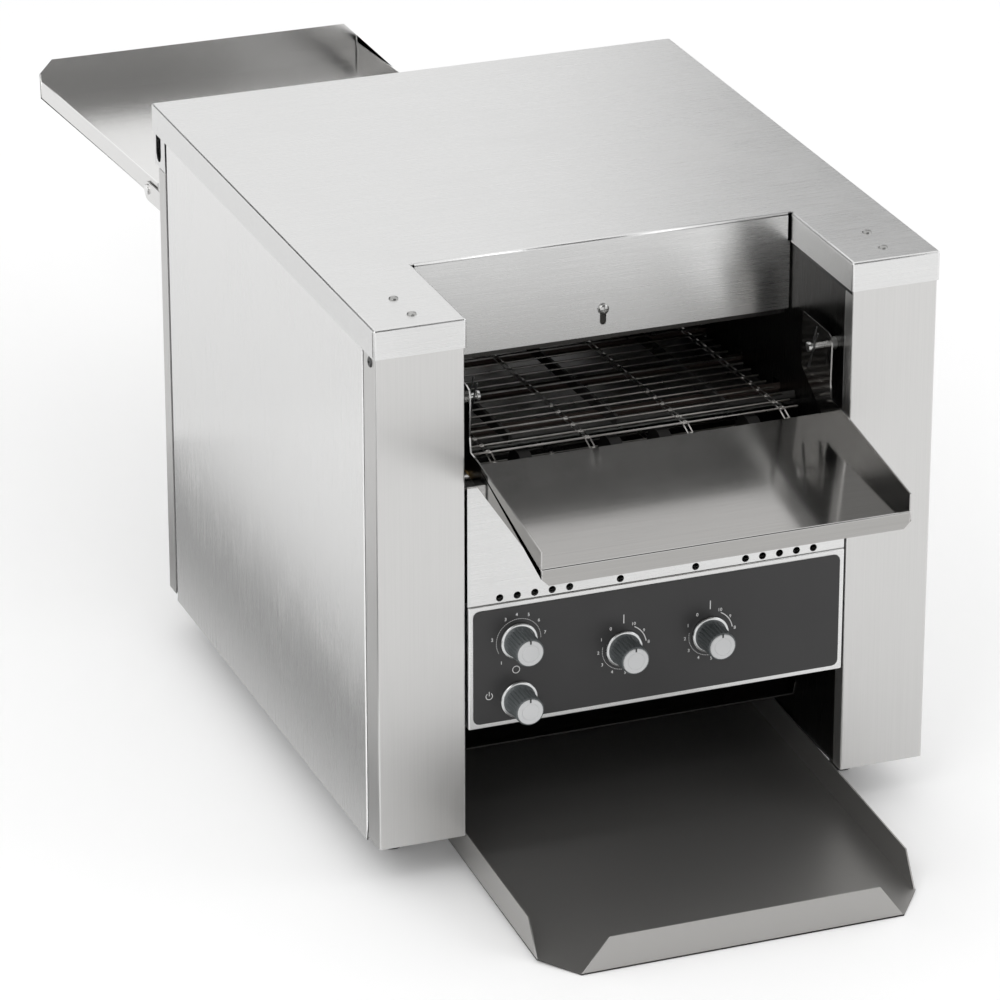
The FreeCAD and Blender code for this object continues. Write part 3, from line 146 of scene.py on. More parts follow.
def turn(name: str, start: Vector, along: Vector, profile: Sequence[tuple[float, float]],
         corners: int = 32) -> bpy.types.Object:
    """Builds a turned piece by extruding and resizing a disc step by step.

    Args:
        name: The piece's name.
        start: Where level zero lies on the axis.
        along: The axis' direction.
        profile: Levels along the axis with their radii, both in millimetres.
        corners: How many corners the round has.

    Returns:
        The piece, with its place in its mesh.
    """
    clear()
    level, radius = profile[0]
    bpy.ops.mesh.primitive_circle_add(vertices=corners, radius=radius * MM, fill_type="NGON",
                                      location=(0, 0, 0))
    piece = bpy.context.object
    piece.name = name
    edit(piece)
    bpy.ops.mesh.select_mode(type="FACE")
    bpy.ops.mesh.select_all(action="SELECT")
    for step, (next_level, next_radius) in enumerate(profile[1:], 1):
        bpy.ops.mesh.extrude_region_move(TRANSFORM_OT_translate={"value": (0, 0, (next_level - level) * MM)})
        ratio = next_radius / radius
        bpy.ops.transform.resize(value=(ratio, ratio, 1),
                                 center_override=(0, 0, (next_level - profile[0][0]) * MM))
        level, radius = next_level, next_radius
    bpy.ops.mesh.select_all(action="SELECT")
    bpy.ops.mesh.normals_make_consistent(inside=False)
    clear()
    piece.matrix_world = Matrix.Translation(start + along * profile[0][0] * MM) @ \
        along.to_track_quat("Z", "Y").to_matrix().to_4x4()
    apply_place(piece)
    return piece


def block(name: str, low: Vector, high: Vector, round_edges: float = 0.0) -> bpy.types.Object:
    """Builds a bar between two corners, with its edges eased by a bevel.

    Args:
        name: The bar's name.
        low: Its low corner.
        high: Its high corner.
        round_edges: How far its edges are eased, in millimetres.

    Returns:
        The bar, with its place in its mesh.
    """
    clear()
    bpy.ops.mesh.primitive_cube_add(size=1, location=(low + high) / 2)
    piece = bpy.context.object
    piece.name = name
    piece.scale = high - low
    apply_place(piece)
    if round_edges:
        edit(piece)
        bpy.ops.mesh.select_all(action="SELECT")
        bpy.ops.mesh.bevel(offset=round_edges * MM, segments=2, affect="EDGES")
        clear()
    return piece


def tube(name: str, points: Iterable[Vector], radius: float, closed: bool = False,
         corners: int = 3) -> bpy.types.Object:
    """Builds a bent wire through a smooth line's control points.

    Args:
        name: The piece's name.
        points: The control points in metres.
        radius: The wire's radius in millimetres.
        closed: Whether the wire is a loop.
        corners: The bevel resolution of the round.

    Returns:
        The wire as a mesh.
    """
    line = bpy.data.curves.new(name, "CURVE")
    line.dimensions = "3D"
    line.bevel_depth = radius * MM
    line.bevel_resolution = corners
    line.resolution_u = 6
    line.use_fill_caps = True
    spline = line.splines.new("NURBS")
    route = list(points)
    spline.points.add(len(route) - 1)
    for point, place in zip(spline.points, route):
        point.co = (*place, 1.0)
    spline.use_cyclic_u = closed
    spline.order_u = 3
    spline.use_endpoint_u = not closed
    piece = bpy.data.objects.new(name, line)
    bpy.context.scene.collection.objects.link(piece)
    lone(piece)
    bpy.ops.object.convert(target="MESH")
    piece = bpy.context.object
    edit(piece)
    bpy.ops.mesh.select_all(action="SELECT")
    bpy.ops.mesh.remove_doubles(threshold=1e-6)
    bpy.ops.mesh.normals_make_consistent(inside=False)
    clear()
    return piece


def twin(piece: bpy.types.Object, name: str, change: Matrix) -> bpy.types.Object:
    """Copies a piece with a mesh of its own, moved by a matrix.

    Args:
        piece: What is copied.
        name: The copy's name.
        change: The move, which may mirror.

    Returns:
        The copy, with its faces outwards.
    """
    copy = bpy.data.objects.new(name, piece.data.copy())
    bpy.context.scene.collection.objects.link(copy)
    copy.data.transform(change)
    if change.determinant() < 0:
        copy.data.flip_normals()
    return copy


def mirrored() -> Matrix:
    """A mirror across the toaster's middle."""
    return Matrix.Scale(-1, 4, RIGHT)


def join(pieces: Sequence[bpy.types.Object], name: str) -> bpy.types.Object:
    """Joins pieces into the first one and names it.

    Args:
        pieces: What is joined.
        name: The name of the whole.

    Returns:
        The first piece, which now holds all.
    """
    clear()
    for piece in pieces:
        piece.select_set(True)
    bpy.context.view_layer.objects.active = pieces[0]
    if len(pieces) > 1:
        bpy.ops.object.join()
    pieces[0].name = name
    return pieces[0]


def carve(piece: bpy.types.Object, cutter: bpy.types.Object) -> None:
    """Cuts one piece out of another and removes the cutter.

    Args:
        piece: What is cut.
        cutter: The shape that is taken away.
    """
    lone(piece)
    cut = piece.modifiers.new("Cut", "BOOLEAN")
    cut.operation = "DIFFERENCE"
    cut.solver = "EXACT"
    cut.object = cutter
    bpy.ops.object.modifier_apply(modifier=cut.name)
    bpy.data.objects.remove(cutter)


def words(name: str, text: str, place: Vector, height: float, spin: float = 0.0) -> bpy.types.Object:
    """Prints a short text on the panel, as a thin mesh that faces the front.

    Args:
        name: The piece's name.
        text: The figures.
        place: The middle of the text.
        height: The height of a figure in millimetres.
        spin: A turn about the panel's normal, in degrees.

    Returns:
        The text as a mesh.
    """
    font = bpy.data.curves.new(name, "FONT")
    font.body = text
    font.size = height * 1.4 * MM
    font.align_x = "CENTER"
    font.align_y = "CENTER"
    font.extrude = 0.02 * MM
    font.offset = 0.05 * MM
    piece = bpy.data.objects.new(name, font)
    bpy.context.scene.collection.objects.link(piece)
    lone(piece)
    bpy.ops.object.convert(target="MESH")
    piece = bpy.context.object
    piece.matrix_world = Matrix.Translation(place) @ Matrix.Rotation(math.radians(spin), 4, "Y") @ \
        Matrix.Rotation(math.radians(90), 4, "X")
    apply_place(piece)
    return piece


def settle(piece: bpy.types.Object, body: str, finish: "Finish", replaces: Sequence[str] = (),
           angle: float = 35.0, smooth: bool = True) -> bpy.types.Object:
    """Gives a finished piece its shading, its finish and the body that carries it.

    Args:
        piece: The finished mesh.
        body: The CAD body that it moves with.
        finish: What it is made of.
        replaces: CAD nodes that it stands for.
        angle: The sharpest edge that is shaded smooth, in degrees.
        smooth: Whether its shading is set here.

    Returns:
        The same piece.
    """
    lone(piece)
    if smooth:
        bpy.ops.object.shade_smooth_by_angle(angle=math.radians(angle))
    piece.data.materials.clear()
    piece.data.materials.append(finish.material())
    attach(piece, body)
    if replaces:
        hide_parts(*replaces)
    log.info("%s: %d faces on %s", piece.name, len(piece.data.polygons), body)
    return piece


def body_of(node: str) -> str:
    """The CAD body that carries a node."""
    bodies = frame["record"]["behaviour"]["bodies"]
    return next(body for body, nodes in bodies.items() if node in nodes)


def merged_copy(node: str, name: str) -> bpy.types.Object:
    """Copies a node's mesh with its loose triangles merged into whole faces.

    Args:
        node: The CAD node.
        name: The copy's name.

    Returns:
        The copy, in object mode.
    """
    piece = bpy.data.objects.new(name, frame["nodes"][node].data.copy())
    bpy.context.scene.collection.objects.link(piece)
    edit(piece)
    bpy.ops.mesh.select_all(action="SELECT")
    bpy.ops.mesh.remove_doubles(threshold=1e-6)
    bpy.ops.mesh.dissolve_limited(angle_limit=math.radians(0.6))
    clear()
    return piece


# Node graphs


class Graph:
    """Short calls for the nodes of a material or a group."""

    def __init__(self, tree: bpy.types.NodeTree) -> None:
        """Keeps the tree that the calls add to."""
        self.tree = tree

    def add(self, kind: str, **values: object) -> bpy.types.Node:
        """Adds a node and sets its own properties."""
        node = self.tree.nodes.new(kind)
        for name, value in values.items():
            setattr(node, name, value)
        return node

    def link(self, source: bpy.types.NodeSocket, target: bpy.types.NodeSocket) -> None:
        """Joins two sockets."""
        self.tree.links.new(source, target)

    def noise(self, vector: bpy.types.NodeSocket, scale: float, detail: float = 3.0,
              roughness: float = 0.55) -> bpy.types.NodeSocket:
        """Adds a noise.

        Args:
            vector: Where it is read.
            scale: Its fineness.
            detail: How many finer noises lie over it.
            roughness: How strong these are.

        Returns:
            The noise's value.
        """
        node = self.add("ShaderNodeTexNoise")
        node.inputs["Scale"].default_value = scale
        node.inputs["Detail"].default_value = detail
        node.inputs["Roughness"].default_value = roughness
        self.link(vector, node.inputs["Vector"])
        return node.outputs["Fac"]

    def stretch(self, vector: bpy.types.NodeSocket, scale: Sequence[float]) -> bpy.types.NodeSocket:
        """Scales a vector along its axes."""
        node = self.add("ShaderNodeMapping")
        node.inputs["Scale"].default_value = scale
        self.link(vector, node.inputs["Vector"])
        return node.outputs["Vector"]

    def span(self, value: bpy.types.NodeSocket, low: float, high: float, start: float = 0.3,
             end: float = 0.7) -> bpy.types.NodeSocket:
        """Maps a value from one range to another.

        Args:
            value: The value.
            low: What the start becomes.
            high: What the end becomes.
            start: Where the value's range starts.
            end: Where it ends.

        Returns:
            The mapped value.
        """
        node = self.add("ShaderNodeMapRange")
        for name, number in (("From Min", start), ("From Max", end), ("To Min", low), ("To Max", high)):
            node.inputs[name].default_value = number
        self.link(value, node.inputs["Value"])
        return node.outputs["Result"]

    def blend(self, factor: bpy.types.NodeSocket, one: object, two: object) -> bpy.types.NodeSocket:
        """Mixes two colours.

        Args:
            factor: How much of the second colour is taken.
            one: The first colour, or its socket.
            two: The second.

        Returns:
            The mixed colour.
        """
        node = self.add("ShaderNodeMix", data_type="RGBA")
        self.link(factor, node.inputs["Factor"])
        for name, colour in (("A", one), ("B", two)):
            target = [s for s in node.inputs if s.name == name and s.type == "RGBA"][0]
            if isinstance(colour, bpy.types.NodeSocket):
                self.link(colour, target)
            else:
                target.default_value = (*colour, 1.0)
        return [s for s in node.outputs if s.type == "RGBA"][0]

    def bump(self, height: bpy.types.NodeSocket, strength: float, distance: float) -> bpy.types.NodeSocket:
        """Adds a bump.

        Args:
            height: The relief.
            strength: How much of it is taken.
            distance: The height of the relief in metres.

        Returns:
            The bumped normal.
        """
        node = self.add("ShaderNodeBump")
        node.inputs["Strength"].default_value = strength
        node.inputs["Distance"].default_value = distance
        self.link(height, node.inputs["Height"])
        return node.outputs["Normal"]


class SharedGroups:
    """Effects that several finishes use, each built once."""

    made: dict[str, bpy.types.NodeTree] = {}

    @classmethod
    def brushing(cls) -> bpy.types.NodeTree:
        """Fine streaks of a brushed sheet, with the slow unevenness of its sheen.

        Returns:
            A group: Along is the stretched vector; it gives Streak, Fine and Cloud.
        """
        if "brushing" in cls.made:
            return cls.made["brushing"]
        tree = bpy.data.node_groups.new("brushing", "ShaderNodeTree")
        tree.interface.new_socket("Along", in_out="INPUT", socket_type="NodeSocketVector")
        tree.interface.new_socket("Place", in_out="INPUT", socket_type="NodeSocketVector")
        for name in ("Streak", "Fine", "Cloud"):
            tree.interface.new_socket(name, in_out="OUTPUT", socket_type="NodeSocketFloat")
        graph = Graph(tree)
        source = graph.add("NodeGroupInput")
        result = graph.add("NodeGroupOutput")
        graph.link(graph.noise(source.outputs["Along"], 1.0, 5.0, 0.7), result.inputs["Streak"])
        graph.link(graph.noise(source.outputs["Along"], 3.1, 3.0, 0.6), result.inputs["Fine"])
        graph.link(graph.noise(source.outputs["Place"], 5.0, 4.0, 0.5), result.inputs["Cloud"])
        cls.made["brushing"] = tree
        return tree

    @classmethod
    def handling(cls) -> bpy.types.NodeTree:
        """Marks of use: faint smudges and small specks.

        Returns:
            A group: Place in, Smudge and Speck out.
        """
        if "handling" in cls.made:
            return cls.made["handling"]
        tree = bpy.data.node_groups.new("handling", "ShaderNodeTree")
        tree.interface.new_socket("Place", in_out="INPUT", socket_type="NodeSocketVector")
        for name in ("Smudge", "Speck"):
            tree.interface.new_socket(name, in_out="OUTPUT", socket_type="NodeSocketFloat")
        graph = Graph(tree)
        source = graph.add("NodeGroupInput")
        result = graph.add("NodeGroupOutput")
        soft = graph.noise(source.outputs["Place"], 14.0, 5.0, 0.6)
        fine = graph.noise(source.outputs["Place"], 420.0, 2.0, 0.5)
        graph.link(graph.span(soft, 0.0, 1.0, 0.45, 0.75), result.inputs["Smudge"])
        graph.link(graph.span(fine, 0.0, 1.0, 0.62, 0.8), result.inputs["Speck"])
        cls.made["handling"] = tree
        return tree


class Grain(Enum):
    """Which way a sheet was brushed; the values stretch the streaks."""

    ACROSS = (6.0, 900.0, 900.0)
    DEEP = (900.0, 6.0, 900.0)
    UPRIGHT = (900.0, 900.0, 6.0)

    def spread(self) -> tuple[float, float, float]:
        """The direction across the grain, in which reflections are drawn out."""
        return tuple(0.0 if part < 100 else 1.0 for part in self.value)


@dataclass(frozen=True)
class Finish:
    """What a piece is made of: the base of all finishes.

    Attributes:
        name: The material's name.
        slot: The record's slot that it stands for; not used.
        colour: The linear base colour.
        shade: How much darker the colour gets at its darkest.
        rough: The roughness' range.
        bump: The relief in millimetres.
    """

    name: str
    slot: str
    colour: tuple[float, float, float]
    shade: float = 0.85
    rough: tuple[float, float] = (0.3, 0.4)
    bump: float = 0.02

    def material(self) -> bpy.types.Material:
        """Returns the material, and builds it at the first call."""
        ready = bpy.data.materials.get(self.name)
        if ready:
            return ready
        made = bpy.data.materials.new(self.name)
        made.use_nodes = True
        graph = Graph(made.node_tree)
        shader = made.node_tree.nodes["Principled BSDF"]
        place = graph.add("ShaderNodeTexCoord").outputs["Object"]
        self.dress(graph, shader, place)
        return made

    def dark(self) -> tuple[float, float, float]:
        """The colour at its darkest."""
        return tuple(part * self.shade for part in self.colour)

    def dress(self, graph: Graph, shader: bpy.types.Node, place: bpy.types.NodeSocket) -> None:
        """Fills the material's nodes; each kind of finish has its own way.

        Args:
            graph: The material's graph.
            shader: Its main shader.
            place: The place on the piece.
        """
        raise NotImplementedError


@dataclass(frozen=True)
class BrushedSteel(Finish):
    """Stainless sheet with fine streaks, a slow cloud in its sheen and a painted highlight on its edges."""

    grain: Grain = Grain.ACROSS
    # edge: how strong the painted highlight on the marked edges is
    edge: float = 0.75
    drawn: float = 0.7

    def dress(self, graph: Graph, shader: bpy.types.Node, place: bpy.types.NodeSocket) -> None:
        """Builds streaks, cloud, smudges and a painted highlight on the edges."""
        shader.inputs["Metallic"].default_value = 1.0
        shader.inputs["Anisotropic"].default_value = self.drawn
        spread = graph.add("ShaderNodeCombineXYZ")
        for socket, part in zip(spread.inputs, self.grain.spread()):
            socket.default_value = part
        graph.link(spread.outputs["Vector"], shader.inputs["Tangent"])
        streaks = graph.add("ShaderNodeGroup", node_tree=SharedGroups.brushing())
        graph.link(graph.stretch(place, self.grain.value), streaks.inputs["Along"])
        graph.link(place, streaks.inputs["Place"])
        marks = graph.add("ShaderNodeGroup", node_tree=SharedGroups.handling())
        graph.link(place, marks.inputs["Place"])
        streak = graph.span(streaks.outputs["Streak"], 0.0, 1.0, 0.25, 0.75)
        tone = graph.blend(streak, self.dark(), self.colour)
        cloudy = graph.blend(graph.span(streaks.outputs["Cloud"], 0.0, 0.08), tone, self.dark())
        # Painted highlight: faces marked in the edge layer get a lighter base colour
        edge = graph.add("ShaderNodeAttribute", attribute_name="painted_edge_highlight")
        bright = tuple(min(1.0, part + (1 - part) * self.edge * 0.5) for part in self.colour)
        graph.link(graph.blend(edge.outputs["Fac"], cloudy, bright), shader.inputs["Base Color"])
        low, high = self.rough
        base = graph.span(streaks.outputs["Fine"], low, high)
        soften = graph.add("ShaderNodeMath", operation="MULTIPLY_ADD")
        soften.inputs[1].default_value = 0.025
        graph.link(marks.outputs["Smudge"], soften.inputs[0])
        graph.link(base, soften.inputs[2])
        graph.link(soften.outputs["Value"], shader.inputs["Roughness"])
        graph.link(graph.bump(streaks.outputs["Streak"], 0.12, self.bump * MM), shader.inputs["Normal"])


@dataclass(frozen=True)
class WorkedMetal(Finish):
    """Turned, drawn or plated metal, with heat tint where it gets hot."""

    metallic: float = 1.0
    tint: tuple[float, float, float] | None = None

    def dress(self, graph: Graph, shader: bpy.types.Node, place: bpy.types.NodeSocket) -> None:
        """Builds an uneven tone, a tint in patches and fine scratches."""
        shader.inputs["Metallic"].default_value = self.metallic
        marks = graph.add("ShaderNodeGroup", node_tree=SharedGroups.handling())
        graph.link(place, marks.inputs["Place"])
        patches = graph.noise(place, 38.0, 4.0, 0.6)
        tone = graph.blend(graph.span(patches, 0.0, 1.0), self.dark(), self.colour)
        if self.tint:
            tone = graph.blend(graph.span(graph.noise(place, 9.0, 2.0), 0.0, 0.7), tone, self.tint)
        graph.link(graph.blend(marks.outputs["Speck"], tone, self.dark()), shader.inputs["Base Color"])
        graph.link(graph.span(patches, *self.rough), shader.inputs["Roughness"])
        fine = graph.noise(place, 900.0, 2.0)
        graph.link(graph.bump(fine, 0.2, self.bump * MM), shader.inputs["Normal"])


@dataclass(frozen=True)
class Coated(Finish):
    """Moulded plastic, rubber, film or paint, with a fine texture and faint wear."""

    texture: float = 1400.0
    speck: tuple[float, float, float] = (0.2, 0.2, 0.2)
    specular: float = 0.5

    def dress(self, graph: Graph, shader: bpy.types.Node, place: bpy.types.NodeSocket) -> None:
        """Builds the moulded texture, a slow change of tone and rubbed specks."""
        shader.inputs["Specular IOR Level"].default_value = self.specular
        marks = graph.add("ShaderNodeGroup", node_tree=SharedGroups.handling())
        graph.link(place, marks.inputs["Place"])
        slow = graph.noise(place, 22.0, 3.0)
        tone = graph.blend(graph.span(slow, 0.0, 1.0), self.dark(), self.colour)
        graph.link(graph.blend(graph.span(marks.outputs["Speck"], 0.0, 0.25, 0.0, 1.0), tone, self.speck),
                   shader.inputs["Base Color"])
        graph.link(graph.span(marks.outputs["Smudge"], *self.rough, 0.0, 1.0), shader.inputs["Roughness"])
        graph.link(graph.bump(graph.noise(place, self.texture, 2.0), 0.25, self.bump * MM),
                   shader.inputs["Normal"])


@dataclass(frozen=True)
class Finishes:
    """All of the toaster's finishes."""

    cover: Finish = BrushedSteel("cover_steel", "stainless", (0.79, 0.79, 0.785), 0.95, (0.24, 0.32), 0.02,
                                 Grain.ACROSS)
    upright: Finish = BrushedSteel("upright_steel", "stainless", (0.69, 0.685, 0.675), 0.93, (0.3, 0.4),
                                   0.02, Grain.UPRIGHT)
    side: Finish = BrushedSteel("side_panel_steel", "side_steel", (0.89, 0.888, 0.882), 0.96, (0.2, 0.28),
                                0.015, Grain.UPRIGHT)
    tray: Finish = BrushedSteel("tray_steel", "tray_steel", (0.55, 0.54, 0.525), 0.88, (0.1, 0.17), 0.02,
                                Grain.ACROSS)
    inner: Finish = BrushedSteel("inner_steel", "dark_steel", (0.075, 0.073, 0.07), 0.75, (0.24, 0.34),
                                 0.02, Grain.UPRIGHT, 0.3)
    shelf: Finish = BrushedSteel("shelf_steel", "tray_steel", (0.44, 0.432, 0.42), 0.85, (0.07, 0.13), 0.02,
                                 Grain.ACROSS)
    catch: Finish = BrushedSteel("catch_steel", "tray_steel", (0.83, 0.825, 0.815), 0.92, (0.16, 0.24),
                                 0.02, Grain.ACROSS)
    chute: Finish = BrushedSteel("chute_steel", "tray_steel", (0.08, 0.077, 0.074), 0.75, (0.2, 0.32), 0.02,
                                 Grain.DEEP, 0.1)
    pan: Finish = WorkedMetal("pan_steel", "dark_steel", (0.14, 0.137, 0.132), 0.6, (0.45, 0.6), 0.05, 0.9)
    belt: Finish = WorkedMetal("belt_wire_steel", "belt_steel", (0.62, 0.61, 0.59), 0.5, (0.24, 0.42), 0.02,
                               1.0, (0.27, 0.25, 0.23))
    roller: Finish = WorkedMetal("roller_steel", "dark_steel", (0.035, 0.034, 0.033), 0.6, (0.5, 0.65),
                                 0.03)
    shaft: Finish = WorkedMetal("ground_steel", "shaft_steel", (0.6, 0.6, 0.59), 0.8, (0.2, 0.34), 0.01)
    screw: Finish = WorkedMetal("screw_steel", "stainless", (0.66, 0.66, 0.65), 0.75, (0.2, 0.34), 0.01)
    rivet: Finish = WorkedMetal("rivet_steel", "stainless", (0.5, 0.5, 0.49), 0.7, (0.24, 0.36), 0.01)
    dark_screw: Finish = WorkedMetal("blackened_steel", "dark_steel", (0.14, 0.14, 0.14), 0.6, (0.25, 0.4),
                                     0.01)
    sheath: Finish = WorkedMetal("heater_sheath_metal", "heater_sheath", (0.16, 0.13, 0.115), 0.5,
                                 (0.45, 0.65), 0.05, 0.8, (0.10, 0.07, 0.06))
    reflector: Finish = BrushedSteel("reflector_metal", "reflector_sheet", (0.38, 0.372, 0.36), 0.75,
                                     (0.3, 0.45), 0.02, Grain.ACROSS)
    brass: Finish = WorkedMetal("bush_bronze", "bush_brass", (0.55, 0.38, 0.17), 0.8, (0.3, 0.45), 0.02)
    motor: Finish = Coated("motor_enamel", "motor_grey", (0.16, 0.165, 0.17), 0.85, (0.35, 0.5), 0.05)
    film: Finish = Coated("panel_film", "overlay_film", (0.031, 0.0305, 0.031), 0.92, (0.34, 0.46), 0.012,
                          2600.0, (0.05, 0.05, 0.05), 0.45)
    ink: Finish = Coated("panel_ink", "overlay_film", (0.72, 0.72, 0.72), 0.95, (0.5, 0.6), 0.005, 900.0,
                         (0.6, 0.6, 0.6))
    grip: Finish = Coated("knob_moulding", "knob_grey", (0.095, 0.105, 0.108), 0.88, (0.38, 0.5), 0.02,
                          1500.0, (0.2, 0.2, 0.2))
    skirt: Finish = WorkedMetal("knob_ring_plating", "cap_silver", (0.72, 0.73, 0.73), 0.92, (0.22, 0.3),
                                0.005)
    cap: Finish = Coated("knob_cap_moulding", "cap_silver", (0.60, 0.605, 0.61), 0.94, (0.32, 0.42), 0.01,
                         1800.0, (0.66, 0.66, 0.66))
    mark: Finish = Coated("pointer_black", "switch_black", (0.02, 0.02, 0.02), 0.9, (0.4, 0.5), 0.01)
    rubber: Finish = Coated("foot_rubber", "foot_black", (0.022, 0.022, 0.022), 0.8, (0.6, 0.75), 0.06,
                            900.0, (0.05, 0.05, 0.05))
    nylon: Finish = Coated("black_nylon", "switch_black", (0.03, 0.03, 0.031), 0.85, (0.4, 0.55), 0.03,
                           1100.0, (0.06, 0.06, 0.06))
    fan: Finish = Coated("fan_moulding", "fan_black", (0.035, 0.035, 0.036), 0.85, (0.35, 0.5), 0.02)


FINISHES = Finishes()


# Sub-assemblies


@dataclass
class SheetWork:
    """Folded sheets: copies of the frame's nodes with folded corners eased and cut edges broken.

    Attributes:
        fold: The outer radius of a fold, in millimetres.
        burr: The width of a broken cut edge, in millimetres.
        wide: What counts as a sheet's face and not its edge, in millimetres.
        folds: Nodes whose folds have another radius.
        vents: Where the vents stand, as shares of the panel's half width.
        vent_half: That half width.
        vent_level: The vents' height.
        vent_radius: The vents' radius.
    """

    fold: float = 1.25
    burr: float = 0.2
    wide: float = 3.0
    folds: dict[str, float] = field(default_factory=lambda: {"control_overlay": 0.3, "top_cover": 2.1})
    vents: tuple[float, ...] = (0.2, 0.467, 0.5585, 0.65, 0.7415, 0.833)
    vent_half: float = 159.5
    vent_level: float = 201.4
    vent_radius: float = 3.05

    def sheets(self) -> dict[str, Finish]:
        """The nodes that are dressed as folded sheets, with their finishes."""
        sets = {
            FINISHES.cover: ("top_cover", "vent_panel", "rear_header", "control_bezel"),
            FINISHES.upright: ("front_pillar_left", "front_pillar_right", "rear_panel"),
            FINISHES.side: ("side_panel_left", "side_panel_right"),
            FINISHES.tray: ("lower_tray",),
            FINISHES.shelf: ("feed_shelf",),
            FINISHES.catch: ("rear_tray", "exit_chute"),
            FINISHES.chute: ("return_chute", "tray_runners"),
            FINISHES.inner: ("inner_frame_left", "inner_frame_right", "control_housing", "height_gate"),
            FINISHES.pan: ("base_pan", "upper_heater_rails", "lower_heater_rails", "belt_bed"),
            FINISHES.reflector: ("upper_reflector", "lower_reflector"),
            FINISHES.film: ("control_overlay",),
            FINISHES.motor: ("gearmotor",),
        }
        return {node: finish for finish, nodes in sets.items() for node in nodes}

    def build(self) -> None:
        """Dresses every sheet."""
        for node, finish in self.sheets().items():
            piece = merged_copy(node, f"{node}_sheet")
            self.ease(piece, self.folds.get(node, self.fold))
            if node == "vent_panel":
                self.round_vents(piece)
            if node == "top_cover":
                self.open_corners(piece)
            settle(piece, body_of(node), finish, (node,), smooth=False)

    def round_vents(self, piece: bpy.types.Object) -> None:
        """Cuts the vents quite round, a little wider than the frame's many-sided ones."""
        profile = ((0, self.vent_radius), (8, self.vent_radius))
        cutters = [turn("cutter", at(side * share * self.vent_half, -2, self.vent_level), BACK, profile, 28)
                   for side in SIDES for share in self.vents]
        carve(piece, join(cutters, "cutter"))

    def open_corners(self, piece: bpy.types.Object) -> None:
        """Opens the cover's front corners, where its lips meet without a weld."""
        for side in SIDES:
            low = at(min(side * 234.1, side * 236), 1.3, 414)
            high = at(max(side * 234.1, side * 236), 3.3, 437.2)
            carve(piece, block("cutter", low, high))

    def ease(self, piece: bpy.types.Object, fold: float) -> None:
        """Rounds the folds, breaks the cut edges, marks them and the other narrow faces for a painted
        highlight, and keeps the sheets' faces flat.

        Args:
            piece: The sheet.
            fold: The outer radius of its folds, in millimetres.
        """

        def is_fold(edge: bmesh.types.BMEdge) -> bool:
            """Whether an edge lies between two wide faces that are folded outwards."""
            return len(edge.link_faces) == 2 and edge.calc_face_angle_signed(0.0) > math.radians(40) and \
                all(width_of(face) > self.wide * MM for face in edge.link_faces)

        def is_cut(edge: bmesh.types.BMEdge) -> bool:
            """Whether an edge is sharp and points outwards."""
            return len(edge.link_faces) == 2 and edge.calc_face_angle_signed(0.0) > math.radians(55)

        edit(piece)
        if pick(piece, "EDGE", is_fold):
            bpy.ops.mesh.bevel(offset=fold * MM, offset_type="OFFSET", segments=4, affect="EDGES",
                               clamp_overlap=False)
        bpy.ops.mesh.select_mode(type="FACE")
        if pick(piece, "EDGE", is_cut):
            bpy.ops.mesh.bevel(offset=self.burr * MM, offset_type="OFFSET", segments=1, affect="EDGES",
                               clamp_overlap=True)
        # Broken cut edges get 1 and other narrow faces 0.5 in the edge layer: a painted highlight that
        # lightens their base colour
        work = bmesh.from_edit_mesh(piece.data)
        light = work.faces.layers.float.new("painted_edge_highlight")
        for face in work.faces:
            face[light] = 1.0 if face.select else (0.5 if width_of(face) < 0.0013 else 0.0)
        bmesh.update_edit_mesh(piece.data)
        clear()
        lone(piece)
        bpy.ops.object.shade_smooth_by_angle(angle=math.radians(34))
        edit(piece)
        pick(piece, "FACE", lambda face: width_of(face) > 2 * MM)
        bpy.ops.mesh.faces_shade_flat()
        clear()


@dataclass
class RoundWork:
    """Turned and drawn parts: copies of the frame's nodes, merged and shaded round.

    Attributes:
        angle: The sharpest edge that is shaded smooth, in degrees.
        burr: The width of a broken edge, in millimetres.
    """

    angle: float = 38.0
    burr: float = 0.15

    def rounds(self) -> dict[str, Finish]:
        """The nodes that are dressed as turned parts, with their finishes."""
        sets = {
            FINISHES.shaft: ("idler_shaft", "drive_shaft", "motor_shaft", "driving_wheel", "driven_wheel"),
            FINISHES.pan: ("drive_chain", "drive_sprockets"),
            FINISHES.roller: ("idler_rollers",),
            FINISHES.sheath: ("upper_heaters", "lower_heaters"),
            FINISHES.brass: ("shaft_bushes",),
            FINISHES.nylon: ("power_switch", "speed_control", "heat_controls"),
            FINISHES.fan: ("fan_frame", "fan_rotor"),
        }
        return {node: finish for finish, nodes in sets.items() for node in nodes}

    def build(self) -> None:
        """Dresses every turned part."""
        for node, finish in self.rounds().items():
            piece = merged_copy(node, f"{node}_round")
            edit(piece)
            pick(piece, "EDGE", lambda edge: len(edge.link_faces) == 2 and
                 edge.calc_face_angle_signed(0.0) > math.radians(60))
            bpy.ops.mesh.bevel(offset=self.burr * MM, segments=1, affect="EDGES", clamp_overlap=True)
            clear()
            settle(piece, body_of(node), finish, (node,), self.angle)


